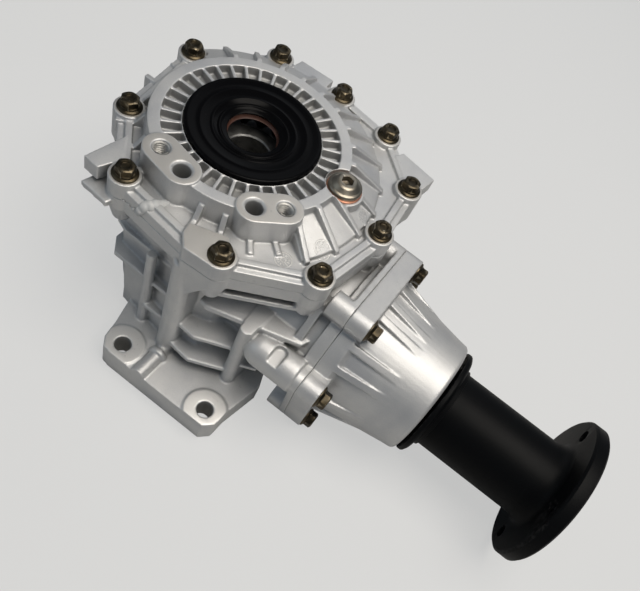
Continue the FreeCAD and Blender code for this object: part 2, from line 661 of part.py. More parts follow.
def make_half_shaft_seal():
    """Lip seal for the half shaft in the cover's top bore."""
    z1 = HALF_SEAL_TOP_Z
    z0 = z1 - HALF_SHAFT_SEAL_T
    lip = HALF_SHAFT_LIP_R
    return turn_z([(HALF_SHAFT_SEAL_R, z0), (HALF_SHAFT_SEAL_R, z1), (lip + 5.0, z1), (lip + 1.4, z1 - 1.2),
                   (lip + 1.0, z1 - 2.4), (lip, z1 - 3.2), (lip + 1.6, z1 - 5.2), (lip + 4.4, z1 - 6.0),
                   (lip + 5.6, z1 - 2.6), (30.0, z1 - 2.6), (30.0, z0)])


def make_dust_shield():
    """Dished black shield over the cover's hub, with two ridges and a raised inner lip."""
    t = SHIELD_T
    top = SHIELD_TOP_Z
    rim, seat = SHIELD_R, SHIELD_SEAT_Z
    collar = HALF_SHAFT_SEAL_R
    return turn_z([(rim, top - 7.0), (rim, top - 1.2), (rim - 0.5, top - 0.4), (rim - 1.6, top),
                   (rim - 3.6, top - 0.2), (collar + 3.0, seat + t + 0.2), (collar + 1.2, seat + t + 1.0),
                   (collar - 0.6, seat + t + 0.2), (30.2, seat + t - 1.4), (29.4, seat + t - 0.6),
                   (28.0, seat + t - 1.8), (25.2, seat + t - 2.6), (24.6, seat + t - 1.2),
                   (23.4, seat + t - 1.2), (22.6, seat + t - 2.9), (18.8, seat + t - 3.7), (18.4, seat + t - 4.3),
                   (18.8, HALF_SEAL_TOP_Z), (collar - FIT, HALF_SEAL_TOP_Z), (collar - FIT, seat),
                   (rim - t, seat), (rim - t, top - 7.0)])


def make_pinion_seal():
    """Lip seal on the companion flange's hub."""
    x1 = NOSE_X - 6.0
    x0 = x1 - PINION_SEAL_T
    lip = FLANGE_HUB_R + SEAL_CLEAR
    return turn_x([(x0, PINION_SEAL_R), (x1, PINION_SEAL_R), (x1, lip + 1.5), (x1 - 4.0, lip),
                   (x0 + 2.0, lip + 1.2), (x0 + 2.0, lip + 3.0), (x1 - 3.0, lip + 4.0), (x1 - 3.0, 29.0),
                   (x0, 29.0)])


def make_o_ring():
    """O-ring in the groove of the pinion housing's spigot."""
    centre_r = SPIGOT_R - O_RING_R
    return turn_x([(O_RING_X + x, centre_r + r) for x, r in ring_points(O_RING_R, 6)])


def make_plug(seat_r, thread_r):
    """Domed screw plug with a hexagon socket, seat at z = 0 and thread down."""
    head = turn_z([(0, 0), (seat_r, 0), (seat_r, 2.6), (seat_r - 0.6, 3.2), (seat_r - 1.6, 3.6),
                   (seat_r - 4.2, 6.6), (seat_r - 6.0, 7.4), (0, 7.6)])
    socket = hexagon(8.0, 2.6, 9.0)
    return fuse([head, cyl(thread_r, -12.0, 0.0)]).cut(socket)


def make_washer(outer_r, inner_r):
    """Sealing washer, lower face at z = 0."""
    return cyl(outer_r, 0, WASHER_T).cut(cyl(inner_r, -1, WASHER_T + 1))


def to_drain(shape):
    """Move a plug or washer onto the drain seat at the back of the main housing."""
    shape.rotate(V(), X_AXIS, -90)
    shape.translate(V(0, DRAIN_SEAT_Y, DRAIN_Z))
    return shape


def make_dowels():
    """Two dowel pins that locate the cover."""
    length = 2 * DOWEL_DEPTH - 0.6
    return Part.makeCompound([cyl(DOWEL_R, PARTING_Z - length / 2, PARTING_Z + length / 2, at) for at in DOWELS])


def make_preload_shim():
    """Shim ring behind the upper bearing's cup."""
    return turn_z([(UPPER_CUP_R - 6.0, UPPER_CUP_TOP_Z), (UPPER_CUP_R, UPPER_CUP_TOP_Z),
                   (UPPER_CUP_R, CUP_SHOULDER_Z), (UPPER_CUP_R - 6.0, CUP_SHOULDER_Z)])


def make_depth_shim():
    """Shim ring behind the pinion head bearing's cup."""
    back = HEAD_CUP_BACK_X
    return turn_x([(back, HEAD_CUP_R - 5.0), (back, HEAD_CUP_R), (back + SHIM_T, HEAD_CUP_R),
                   (back + SHIM_T, HEAD_CUP_R - 5.0)])


# ================================================================ end cover
def make_end_cover():
    """Cast cover: bolt rim, ribbed skirt, drum with ribbed pockets, bracket bosses, bearing hub."""
    p = PARTING_Z
    plate_z = p + PLATE_H
    seat_z = p + BOLT_SEAT_H
    drum_z = p + DRUM_H
    body = [rim_plate(EDGE_OFFSET, p, p + COVER_RIM_T)]
    body.append(rim_plate(INNER_EDGE, p, p + INNER_RIM_H).cut(rim_plate(INNER_EDGE - 5.0, plate_z, p + 20)))
    body += [cyl(LOBE_R, p, seat_z, at) for at in COVER_BOLTS]
    body.append(prism(CORNER_OUTLINE, p, seat_z))
    body.append(cone(DRUM_FOOT_R, DRUM_R, p, drum_z))
    inner_r = DRUM_R - 11.9
    skirt_z = drum_z - SKIRT_DROP
    skirt = turn_z([(inner_r, p), (SKIRT_R, p), (SKIRT_R, seat_z - 1.5), (DRUM_R + 0.1, skirt_z), (inner_r, skirt_z)])
    body.append(skirt.common(sector(SKIRT_FROM, SKIRT_TO, SKIRT_R + 31, p, drum_z)))
    tall = [(DRUM_R - 5.9, p), (DRUM_R - 5.9, drum_z), (DRUM_R + 3.1, drum_z), (SKIRT_R + 3, seat_z - 1.0),
            (SKIRT_R + 3, p)]
    low = [(DRUM_R - 1.9, p), (DRUM_R - 1.9, drum_z - 7), (DRUM_R + 2.1, drum_z - 8), (DRUM_R + 8.1, plate_z + 3),
           (SKIRT_R - 7, plate_z + 3), (SKIRT_R - 7, p)]
    body += [radial_web(tall, COVER_RIB_T, angle) for angle in range(-30, 151, SKIRT_RIB_PITCH)]
    body += [radial_web(low, COVER_RIB_T, angle) for angle in COVER_RIB_ANGLES]
    for tapped, plain in BRACKET_BOSSES:
        body.append(obround(tapped, plain, BOSS_R, p, BOSS_TOP_Z))
    body.append(cyl(PLUG_BOSS_R, p, PLUG_SEAT_Z, PLUG_AT))
    body += [prism(tab, p, p + COVER_RIM_T + TAB_RISE) for tab in COVER_TABS]
    body.append(cyl(COVER_HUB_R, COVER_HUB_Z, p))
    solid = clean(fuse(body))

    inside = turn_z([(0, p - 20), (GEAR_CHAMBER_R, p - 20), (GEAR_CHAMBER_R, p), (GEAR_CHAMBER_R - 6, p + 5),
                     (COVER_HUB_R + 3, p + 5), (COVER_HUB_R, p), (COVER_HUB_R, p - 20)])
    pocket_z = drum_z - POCKET_DEPTH
    hub_r = SHIELD_R + 1.0
    pocket = turn_z([(hub_r, pocket_z - 1), (BAND_R, pocket_z), (BAND_R, drum_z + 5), (hub_r, drum_z + 5)])
    fin = [(SHIELD_R - 2.5, pocket_z - 2), (SHIELD_R - 2.5, drum_z - 0.6), (BAND_R + 2.6, drum_z - 0.6),
           (BAND_R + 2.6, pocket_z - 2)]
    fins = [radial_web(fin, FIN_T, FIN_PITCH * (i + 0.25)) for i in range(round(360 / FIN_PITCH))]
    full_tops = [obround(tapped, plain, BOSS_R, p, BOSS_TOP_Z + 10) for tapped, plain in BRACKET_BOSSES]
    full_tops.append(cyl(PLUG_BOSS_R, p, BOSS_TOP_Z + 10, PLUG_AT))
    pocket = pocket.cut(fins + full_tops)
    collar = cyl(SHIELD_R - SHIELD_T - 0.3, pocket_z - 2, SHIELD_SEAT_Z)
    above_hub = cyl(SHIELD_R + SHIELD_GAP, pocket_z - 1, drum_z + 5).cut(collar)
    bores = [cyl(UPPER_CUP_R + FIT, COVER_HUB_Z - 1, CUP_SHOULDER_Z),
             cyl(CUP_STEP_R, CUP_SHOULDER_Z - 1, CUP_SHOULDER_Z + 9),
             cyl(SEAL_STEP_R, CUP_SHOULDER_Z + 3, HALF_SEAL_TOP_Z - 5),
             cyl(HALF_SHAFT_SEAL_R + FIT, HALF_SEAL_TOP_Z - HALF_SHAFT_SEAL_T, drum_z + 5)]
    tools = [inside, pocket, above_hub] + bores
    tools += [cyl(BOLT_R + BOLT_CLEAR, p - 1, seat_z + 1, at) for at in COVER_BOLTS]
    tools += [cyl(BOLT_FLANGE_R + 1.5, seat_z, seat_z + 30, at) for at in COVER_BOLTS]
    for tapped, plain in BRACKET_BOSSES:
        for at, mouth in ((tapped, 0.8), (plain, 1.6)):
            tools.append(cyl(BOSS_HOLE_R, BOSS_TOP_Z - BOSS_HOLE_DEPTH, BOSS_TOP_Z + 1, at))
            tools.append(cone(BOSS_HOLE_R, BOSS_HOLE_R + mouth, BOSS_TOP_Z - mouth, BOSS_TOP_Z, at))
    tools.append(cyl(PLUG_THREAD_R + TAP_CLEAR, p - 1, PLUG_SEAT_Z + 1, PLUG_AT))
    tools.append(cyl(PLUG_R + 2.0, PLUG_SEAT_Z, PLUG_SEAT_Z + 20, PLUG_AT))
    tools += [cyl(DOWEL_R + FIT, p - 1, p + DOWEL_DEPTH, at) for at in DOWELS]
    return clean(cut(solid, tools))


def sector(start, end, r, z0, z1):
    """Upright wedge about the input axis."""
    wedge = Part.makeCylinder(r, z1 - z0, V(0, 0, z0), Z_AXIS, end - start)
    return wedge.rotate(V(), Z_AXIS, start)


# ================================================================ main housing


def polygon_wire(points, z):
    """Closed outline at one height."""
    return Part.makePolygon([V(x, y, z) for x, y in points + [points[0]]])


def make_main_housing():
    """Cast body: rim, drafted walls, mating flange, foot, pinion barrel, ribs and bosses."""
    p = PARTING_Z
    rim_z = p - HOUSING_RIM_T
    body = [rim_plate(EDGE_OFFSET, rim_z, p)]
    body += [cyl(LOBE_R, rim_z, p, at) for at in COVER_BOLTS]
    body += [cone(6.5, LOBE_R, p - BOSS_CONE_L, p - 10, at) for at in COVER_BOLTS]
    body.append(prism(CORNER_OUTLINE, rim_z, p))
    body.append(Part.makeLoft([polygon_wire(UPPER_WALL, rim_z), polygon_wire(MID_WALL, MID_WALL_Z)], True, True))
    body.append(Part.makeLoft([polygon_wire(MID_WALL, MID_WALL_Z), polygon_wire(LOW_WALL, LOW_WALL_Z)], True, True))
    body.append(cone(MATING_R - 6, 62.0, MATING_T - 1, LOW_WALL_Z + 8))
    body.append(prism(LOW_WALL, MATING_T, LOW_WALL_Z))
    body.append(cyl(MATING_R, 0, MATING_T))
    body += [obround(at, (at[0] * 0.7, at[1] * 0.7), REAR_LOBE_R, 0, MATING_T) for at in REAR_LOBES]
    body += foot()
    body += pinion_barrel()
    body += wall_ribs()
    solid = clean(fuse(body))
    return clean(cut(solid, housing_tools()))


def foot():
    """Mounting foot with two raised pads, and the small boss between them."""
    shapes = [prism(FOOT_OUTLINE, 0, FOOT_T)]
    for x, y in FOOT_HOLES:
        pad = cyl(FOOT_PAD_R, FOOT_T - 1, FOOT_T + PAD_T, (x, y))
        shapes.append(pad.common(prism(FOOT_OUTLINE, 0, FOOT_T + PAD_T)))
    shapes.append(cyl_y(FOOT_RIDGE_R, FOOT_FRONT_Y, -98.0, FOOT_RIDGE_X, FOOT_T))
    shapes.append(cyl_y(FOOT_RIDGE_BEAD_R, -111.0, -107.0, FOOT_RIDGE_X, FOOT_T))
    return shapes


def pinion_barrel():
    """Barrel round the pinion, its joint flange, and the bolt bosses."""
    shapes = [cyl_x(BARREL_R, BARREL_X, JOINT_X), cyl_x(JOINT_FLANGE_R, JOINT_X - 10.0, JOINT_X)]
    shapes += [ear_plate(JOINT_X - EAR_PLATE_T, JOINT_X, pair) for pair in JOINED_EARS]
    ear_back = JOINT_X - EAR_BOSS_L
    for angle in EAR_ANGLES:
        y, z = on_output_circle(EAR_CIRCLE_R, angle)
        shapes.append(cyl_x(EAR_R, ear_back, JOINT_X, y, z))
        shapes.append(axial_web([(ear_back, 40), (ear_back, EAR_CIRCLE_R), (JOINT_X, EAR_CIRCLE_R),
                                 (JOINT_X, 40)], 2 * EAR_R * EAR_WEB, angle))
    y, z = on_output_circle(EAR_CIRCLE_R, EAR_ANGLES[2])
    y, z = y + LONG_BOSS_SHIFT[0], z + LONG_BOSS_SHIFT[1]
    boss = cyl_x(LONG_BOSS_R, LONG_BOSS_X, JOINT_X - 6, y, z)
    boss = boss.fuse(Part.makeSphere(LONG_BOSS_R, V(LONG_BOSS_X, y, z)))
    x, r = LONG_BOSS_POCKET
    pocket_z = z + LONG_BOSS_R - r
    shapes.append(boss.cut(obround((x, y - 20), (x, y + 1), r, pocket_z, pocket_z + 20)))
    return shapes


def shelf(points, z, thickness):
    """Level rib that stands out of a side wall."""
    return prism(points, z - thickness, z)


def wall_ribs():
    """Pillar, pilasters and ribs on the foot side of the housing."""
    rim_z = PARTING_Z - HOUSING_RIM_T
    base_z = FOOT_T - 2
    shapes = [cone(PILLAR_R, PILLAR_TOP_R, base_z, PARTING_Z - 8, PILLAR_AT)]
    shapes.append(prism(PILLAR_WEB, base_z, PARTING_Z - 10))
    shapes += [cone(foot_r, top_r, base_z, top_z, at) for at, foot_r, top_r, top_z in PILASTERS]
    shapes.append(prism(RIGHT_PILASTER_WEB, base_z, PILASTERS[1][3]))
    shapes += [shelf(*rib) for rib in WALL_RIBS]
    shapes.append(ruled([[V(x, y, rim_z) for x, y in CORNER_OUTLINE],
                         [V(x, y, rim_z - NECK_L) for x, y in PILLAR_NECK]]))
    shapes.append(web(GUSSET, GUSSET_T, X_AXIS))
    tab_z = PARTING_Z - LOWER_TAB_TOP
    shapes.append(prism(LOWER_TAB, tab_z - LOWER_TAB_T, tab_z))
    return shapes


def housing_tools():
    """Everything that is cut out of the main housing: chamber, bores, holes and grooves."""
    p = PARTING_Z
    chamber = turn_z([(0, 38), (52, 38), (56, 44), (GEAR_CHAMBER_R - 4, 78), (GEAR_CHAMBER_R, 82),
                      (GEAR_CHAMBER_R, p + 5), (0, p + 5)])
    tools = [chamber, cyl(REGISTER_R, -1, REGISTER_DEPTH), cyl(INPUT_SEAL_R + FIT, REGISTER_DEPTH - 1, 14.0)]
    tools.append(cyl(INPUT_SEAL_R + FIT, 13.0, LOWER_CUP_Z + 1))
    tools.append(cyl(LOWER_CUP_R + FIT, LOWER_CUP_Z, 40.0))
    tools.append(cyl_x(SPIGOT_R + FIT, 74.0, JOINT_X + 1))
    tools.append(cyl_x(34.0, 40.0, 80.0))
    for at in COVER_BOLTS:
        tools.append(cyl(BOLT_R + TAP_CLEAR, p - BOLT_DEPTH - BLIND, p + 1, at))
    for angle in EAR_ANGLES:
        y, z = on_output_circle(EAR_CIRCLE_R, angle)
        tools.append(cyl_x(BOLT_R + TAP_CLEAR, JOINT_X - EAR_BOLT_DEPTH - BLIND, JOINT_X + 1, y, z))
    tools += [cyl(FOOT_HOLE_R, -1, FOOT_T + 5, at) for at in FOOT_HOLES]
    tools += [cyl(REAR_HOLE_R, -1, MATING_T + 5, at) for at in REAR_LOBES]
    tools += [cyl(DOWEL_R + FIT, p - DOWEL_DEPTH, p + 1, at) for at in DOWELS]
    tools.append(cyl_y(PLUG_THREAD_R + TAP_CLEAR, 40.0, DRAIN_SEAT_Y + 5, 0, DRAIN_Z))
    tools.append(cyl_y(DRAIN_SPOT_R, DRAIN_SEAT_Y, DRAIN_SEAT_Y + 30, 0, DRAIN_Z))
    return tools


# ================================================================ pinion housing
def ear_plate(x0, x1, pair):
    """Plate between two ears, given by their angles, its outer side tangent to both."""
    (y0, z0), (y1, z1) = [on_output_circle(EAR_CIRCLE_R, a) for a in pair]
    out_y, out_z = on_output_circle(EAR_R, sum(pair) / 2)
    dy, dz = out_y - AXIS_Y, out_z - AXIS_Z
    corners = [V(x0, AXIS_Y, AXIS_Z), V(x0, y0 + dy, z0 + dz), V(x0, y1 + dy, z1 + dz)]
    return face_of(corners).extrude(V(x1 - x0, 0, 0))


def make_pinion_housing():
    """Cast nose: spigot, eared flange, tapered body with fading ribs, bearing and seal bores."""
    ear_x = JOINT_X + EAR_T
    body = [turn_x([(HEAD_BEARING_X - 0.5, 0), (HEAD_BEARING_X - 0.5, 41), (HEAD_BEARING_X + 12, 44),
                    (JOINT_X - 22, 46), (JOINT_X - 14, SPIGOT_R), (JOINT_X, SPIGOT_R), (JOINT_X, JOINT_FLANGE_R),
                    (JOINT_X + 12, JOINT_FLANGE_R), (ear_x, 59), (NOSE_X - 9, 50), (NOSE_X - 2, 49.2), (NOSE_X, 47.5),
                    (NOSE_X, 0)])]
    for angle in EAR_ANGLES:
        y, z = on_output_circle(EAR_CIRCLE_R, angle)
        body.append(cyl_x(EAR_R, JOINT_X, ear_x, y, z))
        body.append(axial_web([(JOINT_X, 40), (JOINT_X, EAR_CIRCLE_R), (ear_x, EAR_CIRCLE_R), (ear_x, 40)],
                              2 * EAR_R * EAR_WEB, angle))
    body += [ear_plate(JOINT_X, ear_x, pair) for pair in JOINED_EARS]
    for angle in NOSE_RIB_ANGLES:
        body.append(axial_web([(ear_x - 6, 40), (ear_x - 6, JOINT_FLANGE_R), (ear_x, JOINT_FLANGE_R),
                               (NOSE_X - 22, 51.2), (NOSE_X - 22, 40)], NOSE_RIB_T, angle))
    solid = clean(fuse(body))
    shoulder = HEAD_CUP_BACK_X + SHIM_T
    bore = turn_x([(HEAD_BEARING_X - 2, 0), (HEAD_BEARING_X - 2, HEAD_CUP_R + FIT), (shoulder, HEAD_CUP_R + FIT),
                   (shoulder, 30), (TAIL_CUP_FRONT_X, 26.5), (TAIL_CUP_FRONT_X, TAIL_CUP_R + FIT),
                   (TAIL_BEARING_X + 26, TAIL_CUP_R + FIT), (TAIL_BEARING_X + 26, PINION_SEAL_R + FIT),
                   (NOSE_X + 1, PINION_SEAL_R + FIT), (NOSE_X + 1, 0)])
    groove = turn_x([(O_RING_X - O_RING_GROOVE_W / 2, SPIGOT_R - O_RING_GROOVE_D),
                     (O_RING_X + O_RING_GROOVE_W / 2, SPIGOT_R - O_RING_GROOVE_D),
                     (O_RING_X + O_RING_GROOVE_W / 2, SPIGOT_R + 5), (O_RING_X - O_RING_GROOVE_W / 2, SPIGOT_R + 5)])
    tools = [bore, groove]
    for angle in EAR_ANGLES:
        y, z = on_output_circle(EAR_CIRCLE_R, angle)
        tools.append(cyl_x(BOLT_R + BOLT_CLEAR, JOINT_X - 1, ear_x + 1, y, z))
        tools.append(cyl_x(BOLT_FLANGE_R + 1.2, ear_x, ear_x + 20, y, z))
    return clean(cut(solid, tools))


# ================================================================ build every node
def main():
    """Build and save each node."""
    save("main_housing", make_main_housing())
    save("end_cover", make_end_cover())
    save("pinion_housing", make_pinion_housing())
    save("cover_bolts", make_cover_bolts())
    save("pinion_housing_bolts", make_pinion_housing_bolts())

    plug = make_plug(PLUG_R, PLUG_THREAD_R)
    washer = make_washer(PLUG_R + 0.8, PLUG_THREAD_R + 0.3)
    plug.translate(V(PLUG_AT[0], PLUG_AT[1], PLUG_SEAT_Z + WASHER_T))
    washer.translate(V(PLUG_AT[0], PLUG_AT[1], PLUG_SEAT_Z))
    save("fill_plug", plug)
    save("fill_plug_washer", washer)
    drain = make_plug(PLUG_R, PLUG_THREAD_R)
    drain.translate(V(0, 0, WASHER_T))
    save("drain_plug", to_drain(drain))
    save("drain_plug_washer", to_drain(make_washer(PLUG_R + 0.8, PLUG_THREAD_R + 0.3)))

    save("dust_shield", make_dust_shield())
    save("half_shaft_seal", make_half_shaft_seal())
    save("input_seal", make_input_seal())
    save("pinion_seal", make_pinion_seal())
    save("pinion_housing_o_ring", make_o_ring())
    save("locating_dowels", make_dowels())

    lower = place_on_input(taper_bearing(SHAFT_SEAT_R, LOWER_CUP_R, LOWER_BEARING_W, 18), LOWER_BEARING_Z)
    upper = place_on_input(taper_bearing(SHAFT_SEAT_R, UPPER_CUP_R, UPPER_BEARING_W, 18), UPPER_BEARING_Z, True,
                           UPPER_BEARING_W)
    head = place_on_output(taper_bearing(HEAD_SEAT_R, HEAD_CUP_R, HEAD_BEARING_W, 14), HEAD_BEARING_X, True,
                           HEAD_BEARING_W)
    tail = place_on_output(taper_bearing(TAIL_SEAT_R, TAIL_CUP_R, TAIL_BEARING_W, 14), TAIL_BEARING_X)
    for name, parts in (("lower", lower), ("upper", upper), ("pinion_head", head), ("pinion_tail", tail)):
        save(name + "_bearing_cone", parts[0])
        save(name + "_bearing_cup", parts[1])
        save(name + "_bearing_rollers", parts[2])

    save("bearing_preload_shim", make_preload_shim())
    save("pinion_depth_shim", make_depth_shim())
    save("input_shaft", make_input_shaft())
    save("ring_gear", make_ring_gear())
    save("ring_gear_bolts", make_ring_gear_bolts())
    save("drive_pinion", make_drive_pinion())
    save("crush_spacer", make_crush_spacer())
    save("companion_flange", make_companion_flange())
    save("flange_dust_ring", make_flange_dust_ring())
    save("pinion_nut", make_pinion_nut())


main()
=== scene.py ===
"""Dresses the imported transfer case: cast skins, fasteners, seals, shield, flange and their finishes."""
import logging
import math
from dataclasses import dataclass, field
from enum import Enum
from typing import Optional, Sequence, Union

import bpy
from mathutils import Matrix, Vector


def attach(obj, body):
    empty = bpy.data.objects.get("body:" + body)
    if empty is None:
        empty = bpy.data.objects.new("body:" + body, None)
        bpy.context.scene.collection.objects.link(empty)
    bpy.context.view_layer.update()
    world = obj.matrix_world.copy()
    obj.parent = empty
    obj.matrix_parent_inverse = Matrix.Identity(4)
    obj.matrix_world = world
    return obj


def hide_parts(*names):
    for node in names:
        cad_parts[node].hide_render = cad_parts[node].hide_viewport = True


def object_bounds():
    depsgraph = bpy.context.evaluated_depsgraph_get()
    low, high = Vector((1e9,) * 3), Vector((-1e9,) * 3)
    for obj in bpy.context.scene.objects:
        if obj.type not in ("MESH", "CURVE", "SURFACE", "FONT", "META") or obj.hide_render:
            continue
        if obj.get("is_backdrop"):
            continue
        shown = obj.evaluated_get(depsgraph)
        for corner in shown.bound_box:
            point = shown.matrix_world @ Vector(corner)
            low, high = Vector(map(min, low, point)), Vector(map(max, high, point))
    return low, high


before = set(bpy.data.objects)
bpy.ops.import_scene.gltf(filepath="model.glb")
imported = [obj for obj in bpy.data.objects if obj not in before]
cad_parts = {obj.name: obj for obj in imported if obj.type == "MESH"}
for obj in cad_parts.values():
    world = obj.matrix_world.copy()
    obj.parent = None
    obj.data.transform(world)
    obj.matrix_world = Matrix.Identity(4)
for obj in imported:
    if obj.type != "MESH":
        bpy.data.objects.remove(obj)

LOG = logging.getLogger("transfer_case")
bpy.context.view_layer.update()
MM = 0.001
RGB = tuple[float, float, float]
Point2 = tuple[float, float]
Point3 = tuple[float, float, float]
Outline = tuple[Point2, ...]
Piece = bpy.types.Object
Socket = bpy.types.NodeSocket
Material = bpy.types.Material
WELD = 2e-6
FINE_WELD = 1e-6

# ======== places shared with the solids, in mm
PARTING_Z = 143.6
COVER_FLANGE_T = 13.5
COVER_SEAT_Z = PARTING_Z + COVER_FLANGE_T
OUTPUT_Y, OUTPUT_Z = -14.0, 66.0
EAR_FACE_X = 147.0
EAR_CIRCLE_R = 72.0
EAR_ANGLES = (54.0, 116.0, 166.0, 222.0, 318.0, 6.0)
NOSE_X = 215.0
FLANGE_FACE_X = 335.0
FOOT_PAD_Z = 24.3
BOSS_TOP_Z = 173.1
SHIELD_SEAT_Z = 171.6
PLUG_AT = (72.8, 10.5, 167.5)
DRAIN_AT = (0.0, 78.0, 40.0)
COVER_BOLTS = ((-85.3, 40.6), (-41.3, 95.1), (15.8, 101.4), (64.8, 95.7), (105.0, 61.3),
               (110.9, 7.6), (100.5, -54.7), (45.3, -89.4), (-37.5, -84.6), (-75.8, -38.3))


class Axis(Enum):
    """Directions in which a turned piece can point, each with the turn that takes it there from Z."""

    UP = ("Z", 0.0)
    ALONG_X = ("Y", math.pi / 2)
    ALONG_Y = ("X", -math.pi / 2)


# ======== modelling bench
class Bench:
    """Modelling by hand: primitives, edit-mode operators and applied modifiers."""

    @staticmethod
    def clear() -> None:
        """Leave edit mode and deselect everything."""
        if bpy.context.object and bpy.context.object.mode != "OBJECT":
            bpy.ops.object.mode_set(mode="OBJECT")
        bpy.ops.object.select_all(action="DESELECT")

    @classmethod
    def hold(cls, *pieces: Piece) -> None:
        """Select only these pieces, the last one active.

        Args:
            pieces: The pieces.
        """
        cls.clear()
        for piece in pieces:
            piece.select_set(True)
            bpy.context.view_layer.objects.active = piece

    @classmethod
    def edit(cls, piece: Piece) -> None:
        """Open a piece in edit mode with all of its mesh selected.

        Args:
            piece: The piece.
        """
        cls.hold(piece)
        bpy.ops.object.mode_set(mode="EDIT")
        bpy.ops.mesh.select_all(action="SELECT")

    @classmethod
    def added(cls, name: str) -> Piece:
        """Name the primitive that was just added and settle its place into its mesh.

        Args:
            name: The piece's name.

        Returns:
            The new object.
        """
        bpy.ops.object.transform_apply(location=True, rotation=True, scale=True)
        piece = bpy.context.object
        piece.name = name
        piece.data.name = name
        return piece

    @classmethod
    def prism(cls, name: str, sides: int, radius: float, height: float, at: Point3,
              turn: float = 0.0) -> Piece:
        """Add an upright prism.

        Args:
            name: The piece's name.
            sides: Number of sides.
            radius: Radius over its corners, in millimetres.
            height: Height in millimetres.
            at: Its middle, in millimetres.
            turn: Turn about Z in radians.

        Returns:
            The prism.
        """
        cls.clear()
        bpy.ops.mesh.primitive_cylinder_add(vertices=sides, radius=radius * MM, depth=height * MM,
                                            location=[c * MM for c in at], rotation=(0, 0, turn))
        return cls.added(name)

    @classmethod
    def line(cls, name: str, points: Sequence[Sequence[float]], close: bool = True) -> Piece:
        """Draw a chain of edges by extruding one vertex from point to point.

        Args:
            name: The piece's name.
            points: Points in millimetres.
            close: Whether the last point is joined to the first.

        Returns:
            The object that holds the chain.
        """
        cls.clear()
        bpy.ops.mesh.primitive_plane_add(size=MM, location=(0.0, 0.0, 0.0))
        piece = cls.added(name)
        cls.edit(piece)
        bpy.ops.mesh.merge(type="CENTER")
        route = [Vector(p) * MM for p in points]
        bpy.ops.transform.translate(value=route[0])
        for a, b in zip(route, route[1:] + ([route[0]] if close else [])):
            bpy.ops.mesh.extrude_vertices_move(TRANSFORM_OT_translate={"value": b - a})
        bpy.ops.mesh.select_all(action="SELECT")
        bpy.ops.mesh.remove_doubles(threshold=FINE_WELD)
        bpy.ops.object.mode_set(mode="OBJECT")
        return piece

    @classmethod
    def lathe(cls, name: str, profile: Sequence[Point2], steps: int = 96) -> Piece:
        """Turn a profile about Z.

        Args:
            name: The piece's name.
            profile: (radius, height) points in millimetres; one that starts and ends on the axis stays open.
            steps: Facets round the turn.

        Returns:
            The turned piece.
        """
        solid = profile[0][0] == 0 and profile[-1][0] == 0
        piece = cls.line(name, [(r, 0.0, z) for r, z in profile], close=not solid)
        cls.edit(piece)
        bpy.ops.mesh.spin(steps=steps, angle=2 * math.pi, center=(0, 0, 0), axis=(0, 0, 1))
        cls.seal_up()
        return piece

    @staticmethod
    def seal_up() -> None:
        """Merge doubles, turn all faces outwards and leave edit mode."""
        bpy.ops.mesh.select_all(action="SELECT")
        bpy.ops.mesh.remove_doubles(threshold=WELD)
        bpy.ops.mesh.select_all(action="SELECT")
        bpy.ops.mesh.normals_make_consistent(inside=False)
        bpy.ops.object.mode_set(mode="OBJECT")

    @classmethod
    def modify(cls, piece: Piece, kind: str, **settings: object) -> None:
        """Add a modifier, set it and apply it.

        Args:
            piece: The piece to change.
            kind: The modifier's type.
            settings: The modifier's settings.
        """
        cls.hold(piece)
        bpy.ops.object.modifier_add(type=kind)
        modifier = piece.modifiers[-1]
        for key, value in settings.items():
            setattr(modifier, key, value)
        bpy.ops.object.modifier_apply(modifier=modifier.name)

    @classmethod
    def carve(cls, piece: Piece, tool: Piece,
              operation: str = "DIFFERENCE") -> None:
        """Cut, join or intersect a piece with a tool, which is then thrown away."""
        cls.modify(piece, "BOOLEAN", object=tool, operation=operation, solver="EXACT")
        bpy.data.objects.remove(tool)

    @classmethod
    def round_edges(cls, piece: Piece, width: float, segments: int, angle: float) -> None:
        """Round every edge sharper than an angle by a width in millimetres."""
        cls.modify(piece, "BEVEL", width=width * MM, segments=segments, limit_method="ANGLE",
                   angle_limit=math.radians(angle))

    @classmethod
    def place(cls, piece: Piece, at: Sequence[float], axis: Axis = Axis.UP, spin: float = 0.0) -> None:
        """Turn a piece about Z, point it along an axis, move it to a place and apply all that.

        Args:
            piece: The piece, modelled about the origin.
            at: Place in millimetres.
            axis: Direction of the piece's own Z.
            spin: Turn about the piece's own Z in degrees, made first.
        """
        cls.hold(piece)
        way, angle = axis.value
        turn = Matrix.Rotation(angle, 4, way) @ Matrix.Rotation(math.radians(spin), 4, "Z")
        piece.matrix_world = Matrix.Translation(Vector(at) * MM) @ turn
        bpy.ops.object.transform_apply(location=True, rotation=True, scale=True)

    @classmethod
    def twin(cls, piece: Piece, name: str) -> Piece:
        """Copy a piece with its own mesh.

        Args:
            piece: The piece to copy.
            name: The copy's name.

        Returns:
            The copy.
        """
        copy = bpy.data.objects.new(name, piece.data.copy())
        copy.data.name = name
        bpy.context.scene.collection.objects.link(copy)
        return copy

    @classmethod
    def join(cls, name: str, *pieces: Piece) -> Piece:
        """Join pieces into the last one.

        Args:
            name: The joined piece's name.
            pieces: The pieces, the one that stays last.

        Returns:
            The joined piece.
        """
        cls.hold(*pieces)
        bpy.ops.object.join()
        return cls.added(name)

    @classmethod
    def smooth(cls, piece: Piece, angle: float = 34.0) -> None:
        """Shade a piece smooth, but for edges sharper than an angle."""
        cls.hold(piece)
        bpy.ops.object.shade_smooth_by_angle(angle=math.radians(angle))


# ======== shader desk
Value = Union["Signal", float]


